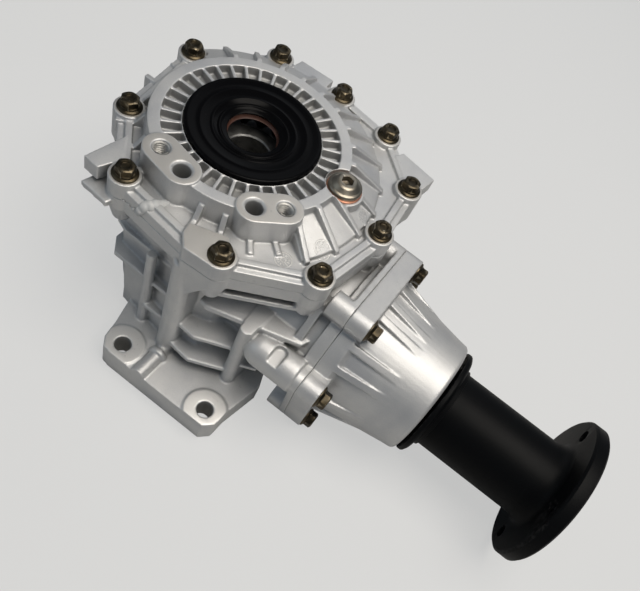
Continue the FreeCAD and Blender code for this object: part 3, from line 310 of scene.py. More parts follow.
class Signal:
    """A number that varies over a surface; arithmetic on it adds Math nodes."""

    def __init__(self, desk: "Desk", socket: Socket) -> None:
        """Wrap an output socket of a desk's tree."""
        self.desk = desk
        self.socket = socket

    def _math(self, operation: str, *values: Value) -> "Signal":
        """Add one Math node fed by the values in order."""
        sockets = dict(enumerate(values))
        return self.desk.signal("ShaderNodeMath", {"operation": operation}, sockets)

    def __add__(self, other: Value) -> "Signal":
        """Sum."""
        return self._math("ADD", self, other)

    def __sub__(self, other: Value) -> "Signal":
        """Difference."""
        return self._math("SUBTRACT", self, other)

    def __mul__(self, other: Value) -> "Signal":
        """Product."""
        return self._math("MULTIPLY", self, other)

    def __pow__(self, power: float) -> "Signal":
        """Power."""
        return self._math("POWER", self, power)

    def most(self, other: Value) -> "Signal":
        """The larger of two values."""
        return self._math("MAXIMUM", self, other)

    def wave(self) -> "Signal":
        """Sine of the value."""
        return self._math("SINE", self)

    def rise(self, low: float, high: float) -> "Signal":
        """Smooth step; a high below low makes it fall.

        Args:
            low: Value at which it is 0.
            high: Value at which it is 1.

        Returns:
            The stepped signal.
        """
        ends = {1: low, 2: high, 3: 0.0, 4: 1.0}
        if high < low:
            ends = {1: high, 2: low, 3: 1.0, 4: 0.0}
        settings = {"interpolation_type": "SMOOTHSTEP", "clamp": True}
        return self.desk.signal("ShaderNodeMapRange", settings, {0: self, **ends})

    def band(self, low: float, high: float, soft: float) -> "Signal":
        """1 between low and high, with soft edges outside them."""
        return self.rise(low - soft, low) * self.rise(high + soft, high)


@dataclass(frozen=True)
class Grain:
    """One noise: cells per metre, levels of detail, and how strong each finer level is."""

    scale: float
    detail: float = 3.0
    roughness: float = 0.6


class Desk:
    """A material's node tree, with one Principled shader at its end."""

    def __init__(self, name: str) -> None:
        """Make an empty material with its shader and output.

        Args:
            name: The material's name.
        """
        self.material = bpy.data.materials.new(name)
        self.material.use_nodes = True
        self.tree = self.material.node_tree
        self.tree.nodes.clear()
        self.shader = self.add("ShaderNodeBsdfPrincipled")
        self.output = self.add("ShaderNodeOutputMaterial", {}, {"Surface": self.shader.outputs["BSDF"]})
        self.place = self.add("ShaderNodeTexCoord").outputs["Object"]

    def add(self, kind: str, settings: Optional[dict] = None,
            sockets: Optional[dict] = None) -> bpy.types.Node:
        """Add a node, set it, then fill its sockets.

        Args:
            kind: The node's type.
            settings: Properties of the node.
            sockets: Values, signals or output sockets by input name or index.

        Returns:
            The node.
        """
        node = self.tree.nodes.new(kind)
        for key, value in (settings or {}).items():
            setattr(node, key, value)
        self.fill(node, sockets or {})
        return node

    def fill(self, node: bpy.types.Node, sockets: dict) -> None:
        """Fill a node's sockets.

        Args:
            node: The node.
            sockets: Values, signals or output sockets by input name or index.
        """
        for key, value in sockets.items():
            target = node.inputs[key]
            if isinstance(value, Signal):
                value = value.socket
            if isinstance(value, Socket):
                self.tree.links.new(value, target)
            elif target.type == "RGBA":
                target.default_value = (*value, 1.0)
            else:
                target.default_value = value

    def signal(self, kind: str, settings: dict, sockets: dict, output: int = 0) -> Signal:
        """Add a node and wrap one of its outputs."""
        return Signal(self, self.add(kind, settings, sockets).outputs[output])

    def noise(self, grain: Grain) -> Signal:
        """Noise over the object, from 0 to 1."""
        sockets = {"Vector": self.place, "Scale": grain.scale, "Detail": grain.detail,
                   "Roughness": grain.roughness}
        return self.signal("ShaderNodeTexNoise", {"noise_dimensions": "3D"}, sockets)

    def cells(self, scale: float) -> Signal:
        """Distance to the nearest of many scattered points; scale is in points per metre."""
        return self.signal("ShaderNodeTexVoronoi", {}, {"Vector": self.place, "Scale": scale})

    def where(self) -> tuple[Signal, Signal, Signal]:
        """Object coordinates as three signals in millimetres."""
        parts = self.add("ShaderNodeSeparateXYZ", {}, {"Vector": self.place})
        return tuple(Signal(self, parts.outputs[i]) * (1.0 / MM) for i in range(3))

    def level(self) -> Signal:
        """Up part of the surface's normal: 1 on faces that look up, 0 on upright ones."""
        normal = self.add("ShaderNodeNewGeometry").outputs["Normal"]
        return self.signal("ShaderNodeSeparateXYZ", {}, {"Vector": normal}, 2)

    def edges(self) -> Signal:
        """About 0.5 on flats, higher on outer edges and lower in corners."""
        return Signal(self, self.add("ShaderNodeNewGeometry").outputs["Pointiness"])

    def blend(self, first: object, second: object, factor: Value) -> Socket:
        """Mix two colours.

        Args:
            first: Colour or socket at factor 0.
            second: Colour or socket at factor 1.
            factor: The mask.

        Returns:
            The mixed colour's socket.
        """
        settings = {"data_type": "RGBA", "blend_type": "MIX", "clamp_factor": True}
        return self.add("ShaderNodeMix", settings, {0: factor, 6: first, 7: second}).outputs[2]

    def relief(self, height: Signal, depth: float, under: Optional[Socket] = None) -> Socket:
        """Bump, laid over another one where there is one.

        Args:
            height: The relief, from 0 to 1.
            depth: Its depth in millimetres.
            under: Normal that it is laid over.

        Returns:
            The normal's socket.
        """
        sockets = {"Height": height, "Distance": depth * MM, "Strength": 1.0}
        if under is not None:
            sockets["Normal"] = under
        return self.add("ShaderNodeBump", {}, sockets).outputs["Normal"]

    def finish(self, **sockets: object) -> Material:
        """Fill the Principled shader and return the material.

        Args:
            sockets: Values or links by input name, with underscores for spaces.

        Returns:
            The finished material.
        """
        self.fill(self.shader, {key.replace("_", " "): value for key, value in sockets.items()})
        return self.material


# ======== finishes
@dataclass(frozen=True)
class Stamp:
    """A blank date clock on the cover: a ring with radial ticks and a hub, in millimetres."""

    x: float
    y: float
    radius: float = 6.2
    rim: float = 0.7
    rim_soft: float = 0.25
    hub: Point2 = (1.4, 2.0)
    tick_span: Point2 = (2.9, 4.7)
    tick_count: float = 12.0
    soft: float = 0.2
    level_face: Point2 = (0.9, 0.97)

    def height(self, desk: Desk) -> Signal:
        """Raise the ring, ticks and hub.

        Args:
            desk: The material's desk.

        Returns:
            The stamp's relief, 0 off the stamp and on steep faces.
        """
        x, y, _ = desk.where()
        dx, dy = x - self.x, y - self.y
        distance = (dx * dx + dy * dy) ** 0.5
        turn = desk.signal("ShaderNodeMath", {"operation": "ARCTAN2"}, {0: dy, 1: dx})
        ring = distance.band(self.radius - self.rim, self.radius, self.rim_soft)
        ring = ring + distance.band(*self.hub, self.soft)
        ticks = (turn * self.tick_count).wave().rise(0.1, 0.5) * distance.band(*self.tick_span, self.soft)
        return ring.most(ticks) * desk.level().rise(*self.level_face)


@dataclass(frozen=True)
class CastSilver:
    """Silver paint over a die-cast surface, brighter and smoother where it was machined."""

    name: str
    colour: RGB = (0.64, 0.64, 0.635)
    shade: RGB = (0.50, 0.51, 0.53)
    grime_and_shade: RGB = (0.20, 0.20, 0.195)
    glint: RGB = (0.72, 0.715, 0.70)
    machined: RGB = (0.74, 0.73, 0.71)
    machined_z: Outline = ()
    machined_face: Point2 = (0.93, 0.985)
    stamps: tuple[Stamp, ...] = ()
    stamp_colour: RGB = (0.86, 0.85, 0.83)
    stamp_relief: float = 0.9
    cloud: Grain = Grain(28.0, 3.0, 0.55)
    flake: Grain = Grain(2600.0, 1.0, 0.5)
    grain: Grain = Grain(900.0)
    ripple: Grain = Grain(150.0, 2.0, 0.5)
    dirt: Grain = Grain(420.0, 4.0, 0.65)
    edge_range: Point2 = (0.505, 0.56)
    crevice_range: Point2 = (0.495, 0.44)
    recess_range: Point2 = (0.72, 0.15)
    recess_reach: float = 16.0
    roughness: float = 0.45
    metallic: float = 0.68
    relief: float = 0.14
    soft: float = 0.25

    def material(self) -> Material:
        """Build the material.

        Returns:
            Silver with shaded clouds, a painted highlight on outer edges, painted shade in creases and
            recesses, grime spots, machined faces and stamps.
        """
        desk = Desk(self.name)
        _, _, z = desk.where()
        up = desk.level()
        cloud, flake, grain = desk.noise(self.cloud), desk.noise(self.flake), desk.noise(self.grain)
        edge = desk.edges().rise(*self.edge_range)
        crevice = desk.edges().rise(*self.crevice_range)
        reach = {"Distance": self.recess_reach * MM}
        open_sky = desk.signal("ShaderNodeAmbientOcclusion", {"samples": 8}, reach, 1)
        machined = flake * 0.0
        for low, high in self.machined_z:
            machined = machined.most(z.band(low, high, self.soft) * up.rise(*self.machined_face))
        colour = desk.blend(self.shade, self.colour, (cloud * 0.7 + flake * 0.3).rise(0.25, 0.62))
        # painted highlight: outer edges lighter, by pointiness
        colour = desk.blend(colour, self.glint, edge * 0.55)
        # painted shade: darker grey in creases, by pointiness, and in recesses, by ambient occlusion; the
        # same colour also gives random grime spots
        recess = open_sky.rise(*self.recess_range) * 0.72
        colour = desk.blend(colour, self.grime_and_shade, (crevice * 0.6).most(recess))
        colour = desk.blend(colour, self.machined, machined * 0.8)
        dirt = desk.noise(self.dirt).rise(0.60, 0.72) * cloud.rise(0.45, 0.6)
        colour = desk.blend(colour, self.grime_and_shade, dirt * 0.25)
        rough = grain * 0.12 + self.roughness + crevice * 0.12 - machined * 0.06
        skin = grain * 0.6 + desk.noise(self.ripple) * 0.4
        normal = desk.relief(skin * (machined * -0.85 + 1.0), self.relief)
        for stamp in self.stamps:
            marks = stamp.height(desk)
            normal = desk.relief(marks, self.stamp_relief, normal)
            colour = desk.blend(colour, self.stamp_colour, marks * 0.85)
        return desk.finish(Base_Color=colour, Metallic=self.metallic, Roughness=rough, Normal=normal)


@dataclass(frozen=True)
class BlackPaint:
    """Black paint: gloss on the shield, satin on the flange."""

    name: str
    colour: RGB = (0.0022, 0.0022, 0.0026)
    wear_and_glint: RGB = (0.03, 0.03, 0.03)
    dust: RGB = (0.16, 0.16, 0.155)
    roughness: float = 0.15
    shine: float = 0.05
    relief: float = 0.03
    smear: Grain = Grain(35.0)
    grain: Grain = Grain(700.0, 2.0, 0.5)
    peel: Grain = Grain(220.0, 1.0, 0.5)
    chips: Grain = Grain(300.0)
    specks: float = 500.0

    def material(self) -> Material:
        """Build the material.

        Returns:
            Black with chipped edges, dust specks and a slight orange peel.
        """
        desk = Desk(self.name)
        smear, grain = desk.noise(self.smear), desk.noise(self.grain)
        edge = desk.edges().rise(0.52, 0.60) * desk.noise(self.chips).rise(0.45, 0.6)
        dust = desk.cells(self.specks).rise(0.09, 0.03) * smear.rise(0.5, 0.7)
        colour = desk.blend(self.colour, self.wear_and_glint, edge * 0.5)
        colour = desk.blend(colour, self.dust, dust * 0.3)
        rough = smear * 0.08 + self.roughness + grain * 0.05 + dust * 0.3
        normal = desk.relief(grain * 0.5 + desk.noise(self.peel) * 0.5, self.relief)
        return desk.finish(Base_Color=colour, Roughness=rough, Normal=normal, Specular_IOR_Level=self.shine)


@dataclass(frozen=True)
class Plated:
    """Plated or bare steel or copper with brighter edges, partly wear and partly a painted highlight, and
    painted shade in its hollows.
    """

    name: str
    colour: RGB
    tint: RGB
    wear_and_glint: RGB
    roughness: float
    hollow_shade: RGB = (0.012, 0.011, 0.010)
    metallic: float = 0.95
    relief: float = 0.02
    cloud: Grain = Grain(120.0)
    grain: Grain = Grain(900.0)

    def material(self) -> Material:
        """Build the material.

        Returns:
            Clouded metal with a fine grain.
        """
        desk = Desk(self.name)
        cloud, grain = desk.noise(self.cloud), desk.noise(self.grain)
        edge = desk.edges().rise(0.51, 0.60)
        hollow_shade = desk.edges().rise(0.49, 0.42)
        colour = desk.blend(self.colour, self.tint, cloud.rise(0.38, 0.62))
        # lighter outer edges, by pointiness: partly wear, partly a painted highlight
        colour = desk.blend(colour, self.wear_and_glint, edge * cloud.rise(0.2, 0.6))
        # painted shade: darker in hollows, by pointiness
        colour = desk.blend(colour, self.hollow_shade, hollow_shade * 0.6)
        return desk.finish(Base_Color=colour, Metallic=self.metallic, Normal=desk.relief(grain, self.relief),
                           Roughness=cloud * 0.12 + self.roughness + grain * 0.08)


@dataclass(frozen=True)
class SoftRubber:
    """Oily seal rubber or dried sealant."""

    name: str
    colour: RGB
    bloom: RGB
    roughness: float = 0.42
    relief: float = 0.03
    cloud: Grain = Grain(160.0)
    pores: Grain = Grain(1400.0, 2.0, 0.5)

    def material(self) -> Material:
        """Build the material.

        Returns:
            A clouded, slightly porous surface.
        """
        desk = Desk(self.name)
        cloud = desk.noise(self.cloud)
        colour = desk.blend(self.colour, self.bloom, cloud.rise(0.5, 0.75))
        return desk.finish(Base_Color=colour, Roughness=cloud * 0.15 + self.roughness,
                           Normal=desk.relief(desk.noise(self.pores), self.relief))


Finish = Union[CastSilver, BlackPaint, Plated, SoftRubber]

CAST_HOUSING = CastSilver("cast_silver_housing", machined_z=((FOOT_PAD_Z - 0.25, FOOT_PAD_Z + 0.3),))
CAST_COVER = CastSilver(
    "cast_silver_cover", machined=(0.58, 0.555, 0.515),
    machined_z=((BOSS_TOP_Z - 0.4, BOSS_TOP_Z + 0.3), (COVER_SEAT_Z - 0.25, COVER_SEAT_Z + 0.3)),
    stamps=(Stamp(74.5, -59.0), Stamp(89.4, -35.0), Stamp(95.0, 11.0, 5.4)))
CAST_NOSE = CastSilver("cast_silver_nose")
GLOSS_BLACK = BlackPaint("gloss_black_shield")
SATIN_BLACK = BlackPaint("satin_black_flange", (0.0030, 0.0033, 0.0038), roughness=0.38, shine=0.07,
                         relief=0.05)
# the golden edge colour of the bolts is partly a painted highlight
OLIVE_ZINC = Plated("olive_zinc_bolts", (0.04, 0.033, 0.022), (0.075, 0.058, 0.034), (0.40, 0.34, 0.24), 0.24)
BRONZE_PLATE = Plated("bronze_grey_plug", (0.26, 0.24, 0.20), (0.34, 0.30, 0.24), (0.62, 0.57, 0.48), 0.24)
COPPER = Plated("copper_washer", (0.60, 0.26, 0.17), (0.48, 0.20, 0.14), (0.78, 0.42, 0.28), 0.30)
GROUND_STEEL = Plated("ground_steel", (0.50, 0.50, 0.51), (0.56, 0.56, 0.56), (0.72, 0.72, 0.72), 0.22)
# oiled steel, darkened further as painted shade for the bore that the input shaft sits in
GEAR_STEEL_PAINTED_SHADE = Plated("oiled_gear_steel_painted_shade", (0.12, 0.12, 0.12), (0.17, 0.165, 0.155), (0.36, 0.36, 0.35), 0.36)
# painted shade: the thread colour is darkened for the inside of the tapped holes, and its lighter crests are
# painted highlights
THREAD_STEEL_PAINTED_SHADE = Plated("tapped_thread_painted_shade", (0.16, 0.16, 0.155), (0.24, 0.235, 0.22), (0.62, 0.61, 0.58), 0.42)
SEAL_BROWN = SoftRubber("brown_seal_rubber", (0.060, 0.022, 0.013), (0.10, 0.045, 0.028))
SEALANT = SoftRubber("silvered_sealant", (0.50, 0.51, 0.51), (0.62, 0.62, 0.61), 0.38)


# ======== fitting pieces to bodies
@dataclass
class Fitter:
    """Dresses pieces and hands them to their bodies, and counts them."""

    materials: dict[str, Material] = field(default_factory=dict)
    count: int = 0

    def material(self, finish: Finish) -> Material:
        """Give the material of a finish, built once.

        Args:
            finish: The finish.

        Returns:
            Its material.
        """
        if finish.name not in self.materials:
            self.materials[finish.name] = finish.material()
        return self.materials[finish.name]

    def fit(self, piece: Piece, body: str, slot: str, finish: Finish, *nodes: str) -> None:
        """Dress a piece, let it ride on a body and stand for nodes.

        Args:
            piece: The finished piece.
            body: Body it rides on.
            slot: Material slot in the record; not used.
            finish: Its finish, all over.
            nodes: Solids that it stands for.
        """
        piece.data.materials.clear()
        piece.data.materials.append(self.material(finish))
        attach(piece, body)
        if nodes:
            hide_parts(*nodes)
        self.count += 1
        LOG.info("%s on %s: %d faces", piece.name, body, len(piece.data.polygons))

    def dress_node(self, name: str, finish: Finish) -> None:
        """Give a carried-over solid its finish.

        Args:
            name: The solid's node.
            finish: Its finish.
        """
        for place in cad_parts[name].material_slots:
            place.link = "OBJECT"
            place.material = self.material(finish)
        LOG.info("%s keeps its solid, in %s", name, finish.name)


@dataclass
class Group:
    """Pieces that are made together, with the fitter that dresses them and hands them to their bodies."""

    fitter: Fitter


# ======== castings
@dataclass
class CastSkin(Group):
    """A casting's skin: the solid's surface with the rounded edges and fillets of a die casting."""

    node: str
    finish: CastSilver
    voxel: float
    relax: int
    target: int = 185000
    quick_voxel: float = 2.0

    def build(self) -> None:
        """Copy the solid, remesh it finely, relax it and thin it out."""
        skin = Bench.twin(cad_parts[self.node], self.node + "_skin")
        Bench.edit(skin)
        bpy.ops.mesh.remove_doubles(threshold=WELD)
        bpy.ops.object.mode_set(mode="OBJECT")
        voxel, relax = self.voxel, self.relax
        Bench.modify(skin, "REMESH", mode="VOXEL", voxel_size=voxel * MM, use_smooth_shade=True)
        Bench.modify(skin, "SMOOTH", factor=0.5, iterations=relax)
        triangles = 2 * len(skin.data.polygons)
        if triangles > self.target:
            Bench.modify(skin, "DECIMATE", decimate_type="COLLAPSE", ratio=self.target / triangles)
        Bench.hold(skin)
        bpy.ops.object.shade_smooth()
        self.fitter.fit(skin, "case", "cast_alloy", self.finish, self.node)


@dataclass
class Castings(Group):
    """Main housing, end cover and pinion housing."""

    housing_voxel: float = 0.8
    cover_voxel: float = 0.6
    nose_voxel: float = 0.7

    def build(self) -> None:
        """Make the three skins."""
        CastSkin(self.fitter, "main_housing", CAST_HOUSING, self.housing_voxel, relax=3).build()
        CastSkin(self.fitter, "end_cover", CAST_COVER, self.cover_voxel, relax=3).build()
        CastSkin(self.fitter, "pinion_housing", CAST_NOSE, self.nose_voxel, relax=4).build()


# ======== fasteners
@dataclass
class FlangeBolts(Group):
    """M8 flange bolts of the cover and of the pinion housing.

    crown and dish hold points from the head's top, brim points from the flange's edge.
    """

    shank_r: float = 4.0
    point: float = 0.8
    flange_r: float = 8.9
    brim: Outline = ((0.0, 0.9), (0.5, 1.45), (1.6, 1.9))
    neck: Point2 = (0.7, 3.0)
    flats: float = 12.0
    head_h: float = 8.0
    shoulder: float = 2.0
    crown: Point2 = (0.15, 0.55)
    crown_inset: float = 0.9
    dish: Outline = ((3.5, 0.0), (3.0, 0.9), (2.0, 1.1), (0.0, 1.15))
    cover_thread_l: float = 20.0
    ear_thread_l: float = 14.0
    cover_grip: float = COVER_FLANGE_T
    ear_grip: float = 15.5
    cover_spin: float = 17.0
    ear_spin: float = 11.0
    steps: int = 48

    def model(self, length: float) -> Piece:
        """Model one bolt with its seat at the origin and its shank down.

        Args:
            length: Length under the head.

        Returns:
            The bolt.
        """
        corner, apothem, top = self.flats / math.sqrt(3), self.flats / 2, self.head_h
        head = Bench.prism("bolt", 6, corner, top, (0, 0, top / 2))
        outline = [(0, -1), (corner + 1, -1), (corner + 1, top - self.shoulder),
                   (apothem + self.crown[0], top - self.crown[1]), (apothem - self.crown_inset, top)]
        outline += [(r, top - down) for r, down in self.dish]
        Bench.carve(head, Bench.lathe("dome", outline, self.steps), "INTERSECT")
        outline = [(0, -length), (self.shank_r - self.point, -length), (self.shank_r, self.point - length),
                   (self.shank_r, 0), (self.flange_r, 0)]
        outline += [(self.flange_r - inset, z) for inset, z in self.brim]
        outline += [(apothem + self.neck[0], self.neck[1]), (0, self.neck[1])]
        Bench.carve(head, Bench.lathe("flange", outline, self.steps), "UNION")
        Bench.round_edges(head, 0.22, 2, 30.0)
        Bench.smooth(head)
        return head

    def build(self) -> None:
        """Model each kind once and copy it to its places."""
        bolt = self.model(self.cover_grip + self.cover_thread_l)
        for i, (x, y) in enumerate(COVER_BOLTS):
            copy = Bench.twin(bolt, f"cover_bolt_{i + 1:02d}")
            Bench.place(copy, (x, y, COVER_SEAT_Z), Axis.UP, self.cover_spin * i)
            self.fitter.fit(copy, "case", "bolt_steel", OLIVE_ZINC, "cover_bolts")
        bpy.data.objects.remove(bolt)
        bolt = self.model(self.ear_grip + self.ear_thread_l)
        for i, angle in enumerate(EAR_ANGLES):
            a = math.radians(angle)
            copy = Bench.twin(bolt, f"ear_bolt_{i + 1:02d}")
            at = (EAR_FACE_X, OUTPUT_Y + EAR_CIRCLE_R * math.cos(a), OUTPUT_Z + EAR_CIRCLE_R * math.sin(a))
            Bench.place(copy, at, Axis.ALONG_X, self.ear_spin * i)
            self.fitter.fit(copy, "case", "bolt_steel", OLIVE_ZINC, "pinion_housing_bolts")
        bpy.data.objects.remove(bolt)


@dataclass
class Plugs(Group):
    """Fill and drain plugs with their copper washers; dome holds points inwards from the seat's edge."""

    seat_r: float = 12.4
    thread_r: float = 8.0
    thread_l: float = 12.0
    dome: Outline = ((0.0, 0.0), (0.0, 2.4), (0.5, 3.1), (1.3, 3.5), (1.9, 3.6), (4.0, 5.9), (4.6, 6.5),
                     (5.4, 6.9), (6.6, 7.2))
    dome_h: float = 7.4
    socket_flats: float = 8.0
    socket_h: float = 8.0
    socket_z: float = 6.6
    socket_turn: float = 0.3
    washer_t: float = 1.5
    washer_brim: float = 0.8
    washer_play: float = 0.3
    washer_round: Point2 = (0.5, 0.4)
    steps: int = 72

    def plug(self, name: str) -> Piece:
        """Model a domed plug with a hexagon socket, seat at the origin.

        Args:
            name: The piece's name.

        Returns:
            The plug.
        """
        r, length = self.thread_r, self.thread_l
        outline = [(0, -length), (r - 1, -length), (r, 1 - length), (r, 0)]
        outline += [(self.seat_r - inset, z) for inset, z in self.dome]
        body = Bench.lathe(name, outline + [(0, self.dome_h)], self.steps)
        corner, middle = self.socket_flats / math.sqrt(3), (0, 0, self.socket_z)
        Bench.carve(body, Bench.prism("socket", 6, corner, self.socket_h, middle, self.socket_turn))
        Bench.round_edges(body, 0.25, 2, 24.0)
        Bench.smooth(body)
        return body

    def washer(self, name: str) -> Piece:
        """Model a crushed sealing washer, lower face at the origin.

        Args:
            name: The piece's name.

        Returns:
            The washer.
        """
        outer, inner, t = self.seat_r + self.washer_brim, self.thread_r + self.washer_play, self.washer_t
        inset, drop = self.washer_round
        outline = [(inner, 0), (outer - inset, 0), (outer, drop),
                   (outer, t - drop), (outer - inset, t), (inner, t)]
        ring = Bench.lathe(name, outline, self.steps)
        Bench.smooth(ring)
        return ring

    def build(self) -> None:
        """Make both plugs and washers."""
        for name, at, axis in (("fill", PLUG_AT, Axis.UP), ("drain", DRAIN_AT, Axis.ALONG_Y)):
            washer = self.washer(name + "_plug_washer_ring")
            Bench.place(washer, at, axis)
            self.fitter.fit(washer, "case", "copper", COPPER, name + "_plug_washer")
            plug = self.plug(name + "_plug_head")
            lift = (0, 0, self.washer_t) if axis is Axis.UP else (0, self.washer_t, 0)
            Bench.place(plug, Vector(at) + Vector(lift), axis)
            self.fitter.fit(plug, "case", "plug_steel", BRONZE_PLATE, name + "_plug")


# ======== shield, seals, flange
@dataclass
class ShieldAndSeal(Group):
    """Black shield over the cover's hub and the half-shaft seal in its middle.

    Outlines hold (offset or radius, height) points: brim inwards from the rim, ridge outwards from the
    seal's seat, dish by radius, lip outwards from the lip's edge and down from the seal's top.
    """

    rim_r: float = 48.5
    skirt_h: float = 4.0
    wall: float = 1.6
    brim: Outline = ((0.0, 1.6), (0.3, 2.3), (1.0, 2.85), (1.8, 3.0), (3.0, 2.85), (6.5, 2.3))
    ridge: Outline = ((5.0, 1.95), (4.2, 2.15), (3.2, 2.15), (2.2, 1.8))
    dish: Outline = (
        (30.8, 1.0), (30.0, 1.35), (29.2, 1.4), (28.4, 0.9), (26.2, -0.6), (25.4, -0.8), (24.8, -0.1),
        (24.2, 0.1), (23.5, -0.1), (22.8, -1.0), (21.4, -1.6), (19.4, -2.0), (18.5, -2.5), (18.5, -2.9),
        (18.9, -3.25))
    seal_r: float = 34.0
    seal_play: float = 0.05
    seal_top: float = 3.3
    seal_h: float = 8.0
    seal_wall_r: float = 30.0
    lip_r: float = 17.5
    lip: Outline = ((5.0, 0.0), (1.4, 1.2), (1.0, 2.4), (0.0, 3.2), (1.6, 5.2), (4.4, 6.0), (5.6, 2.6))
    garter_out: float = 4.0
    garter_down: float = 5.4
    garter_r: float = 0.9
    steps: int = 128

    def build(self) -> None:
        """Make the shield and the seal."""
        self.shield()
        self.seal()

    def shield(self) -> None:
        """Press the shield."""
        s, r, inner = SHIELD_SEAT_Z, self.rim_r, self.seal_r - self.seal_play
        outline = [(r, s - self.skirt_h)] + [(r - inset, s + z) for inset, z in self.brim]
        outline += [(self.seal_r + out, s + z) for out, z in self.ridge]
        outline += [(radius, s + z) for radius, z in self.dish]
        outline += [(inner, s + self.dish[-1][1]), (inner, s), (r - self.wall, s),
                    (r - self.wall, s - self.skirt_h)]
        shield = Bench.lathe("dust_shield_pressing", outline, self.steps)
        Bench.round_edges(shield, 0.25, 2, 30.0)
        Bench.smooth(shield, 40.0)
        self.fitter.fit(shield, "case", "black_paint", GLOSS_BLACK, "dust_shield")

    def seal(self) -> None:
        """Mould the seal round its garter spring."""
        top, wall = SHIELD_SEAT_Z - self.seal_top, self.seal_wall_r
        outline = [(self.seal_r, top - self.seal_h), (self.seal_r, top)]
        outline += [(self.lip_r + out, top - down) for out, down in self.lip]
        outline += [(wall, top - self.lip[-1][1]), (wall, top - self.seal_h)]
        seal = Bench.lathe("half_shaft_seal_lip", outline, self.steps)
        Bench.clear()
        bpy.ops.mesh.primitive_torus_add(
            major_radius=(self.lip_r + self.garter_out) * MM, minor_radius=self.garter_r * MM,
            major_segments=96, minor_segments=10, location=(0, 0, (top - self.garter_down) * MM))
        seal = Bench.join("half_shaft_seal_lip", Bench.added("garter"), seal)
        Bench.smooth(seal, 40.0)
        self.fitter.fit(seal, "case", "seal_rubber", SEAL_BROWN, "half_shaft_seal")


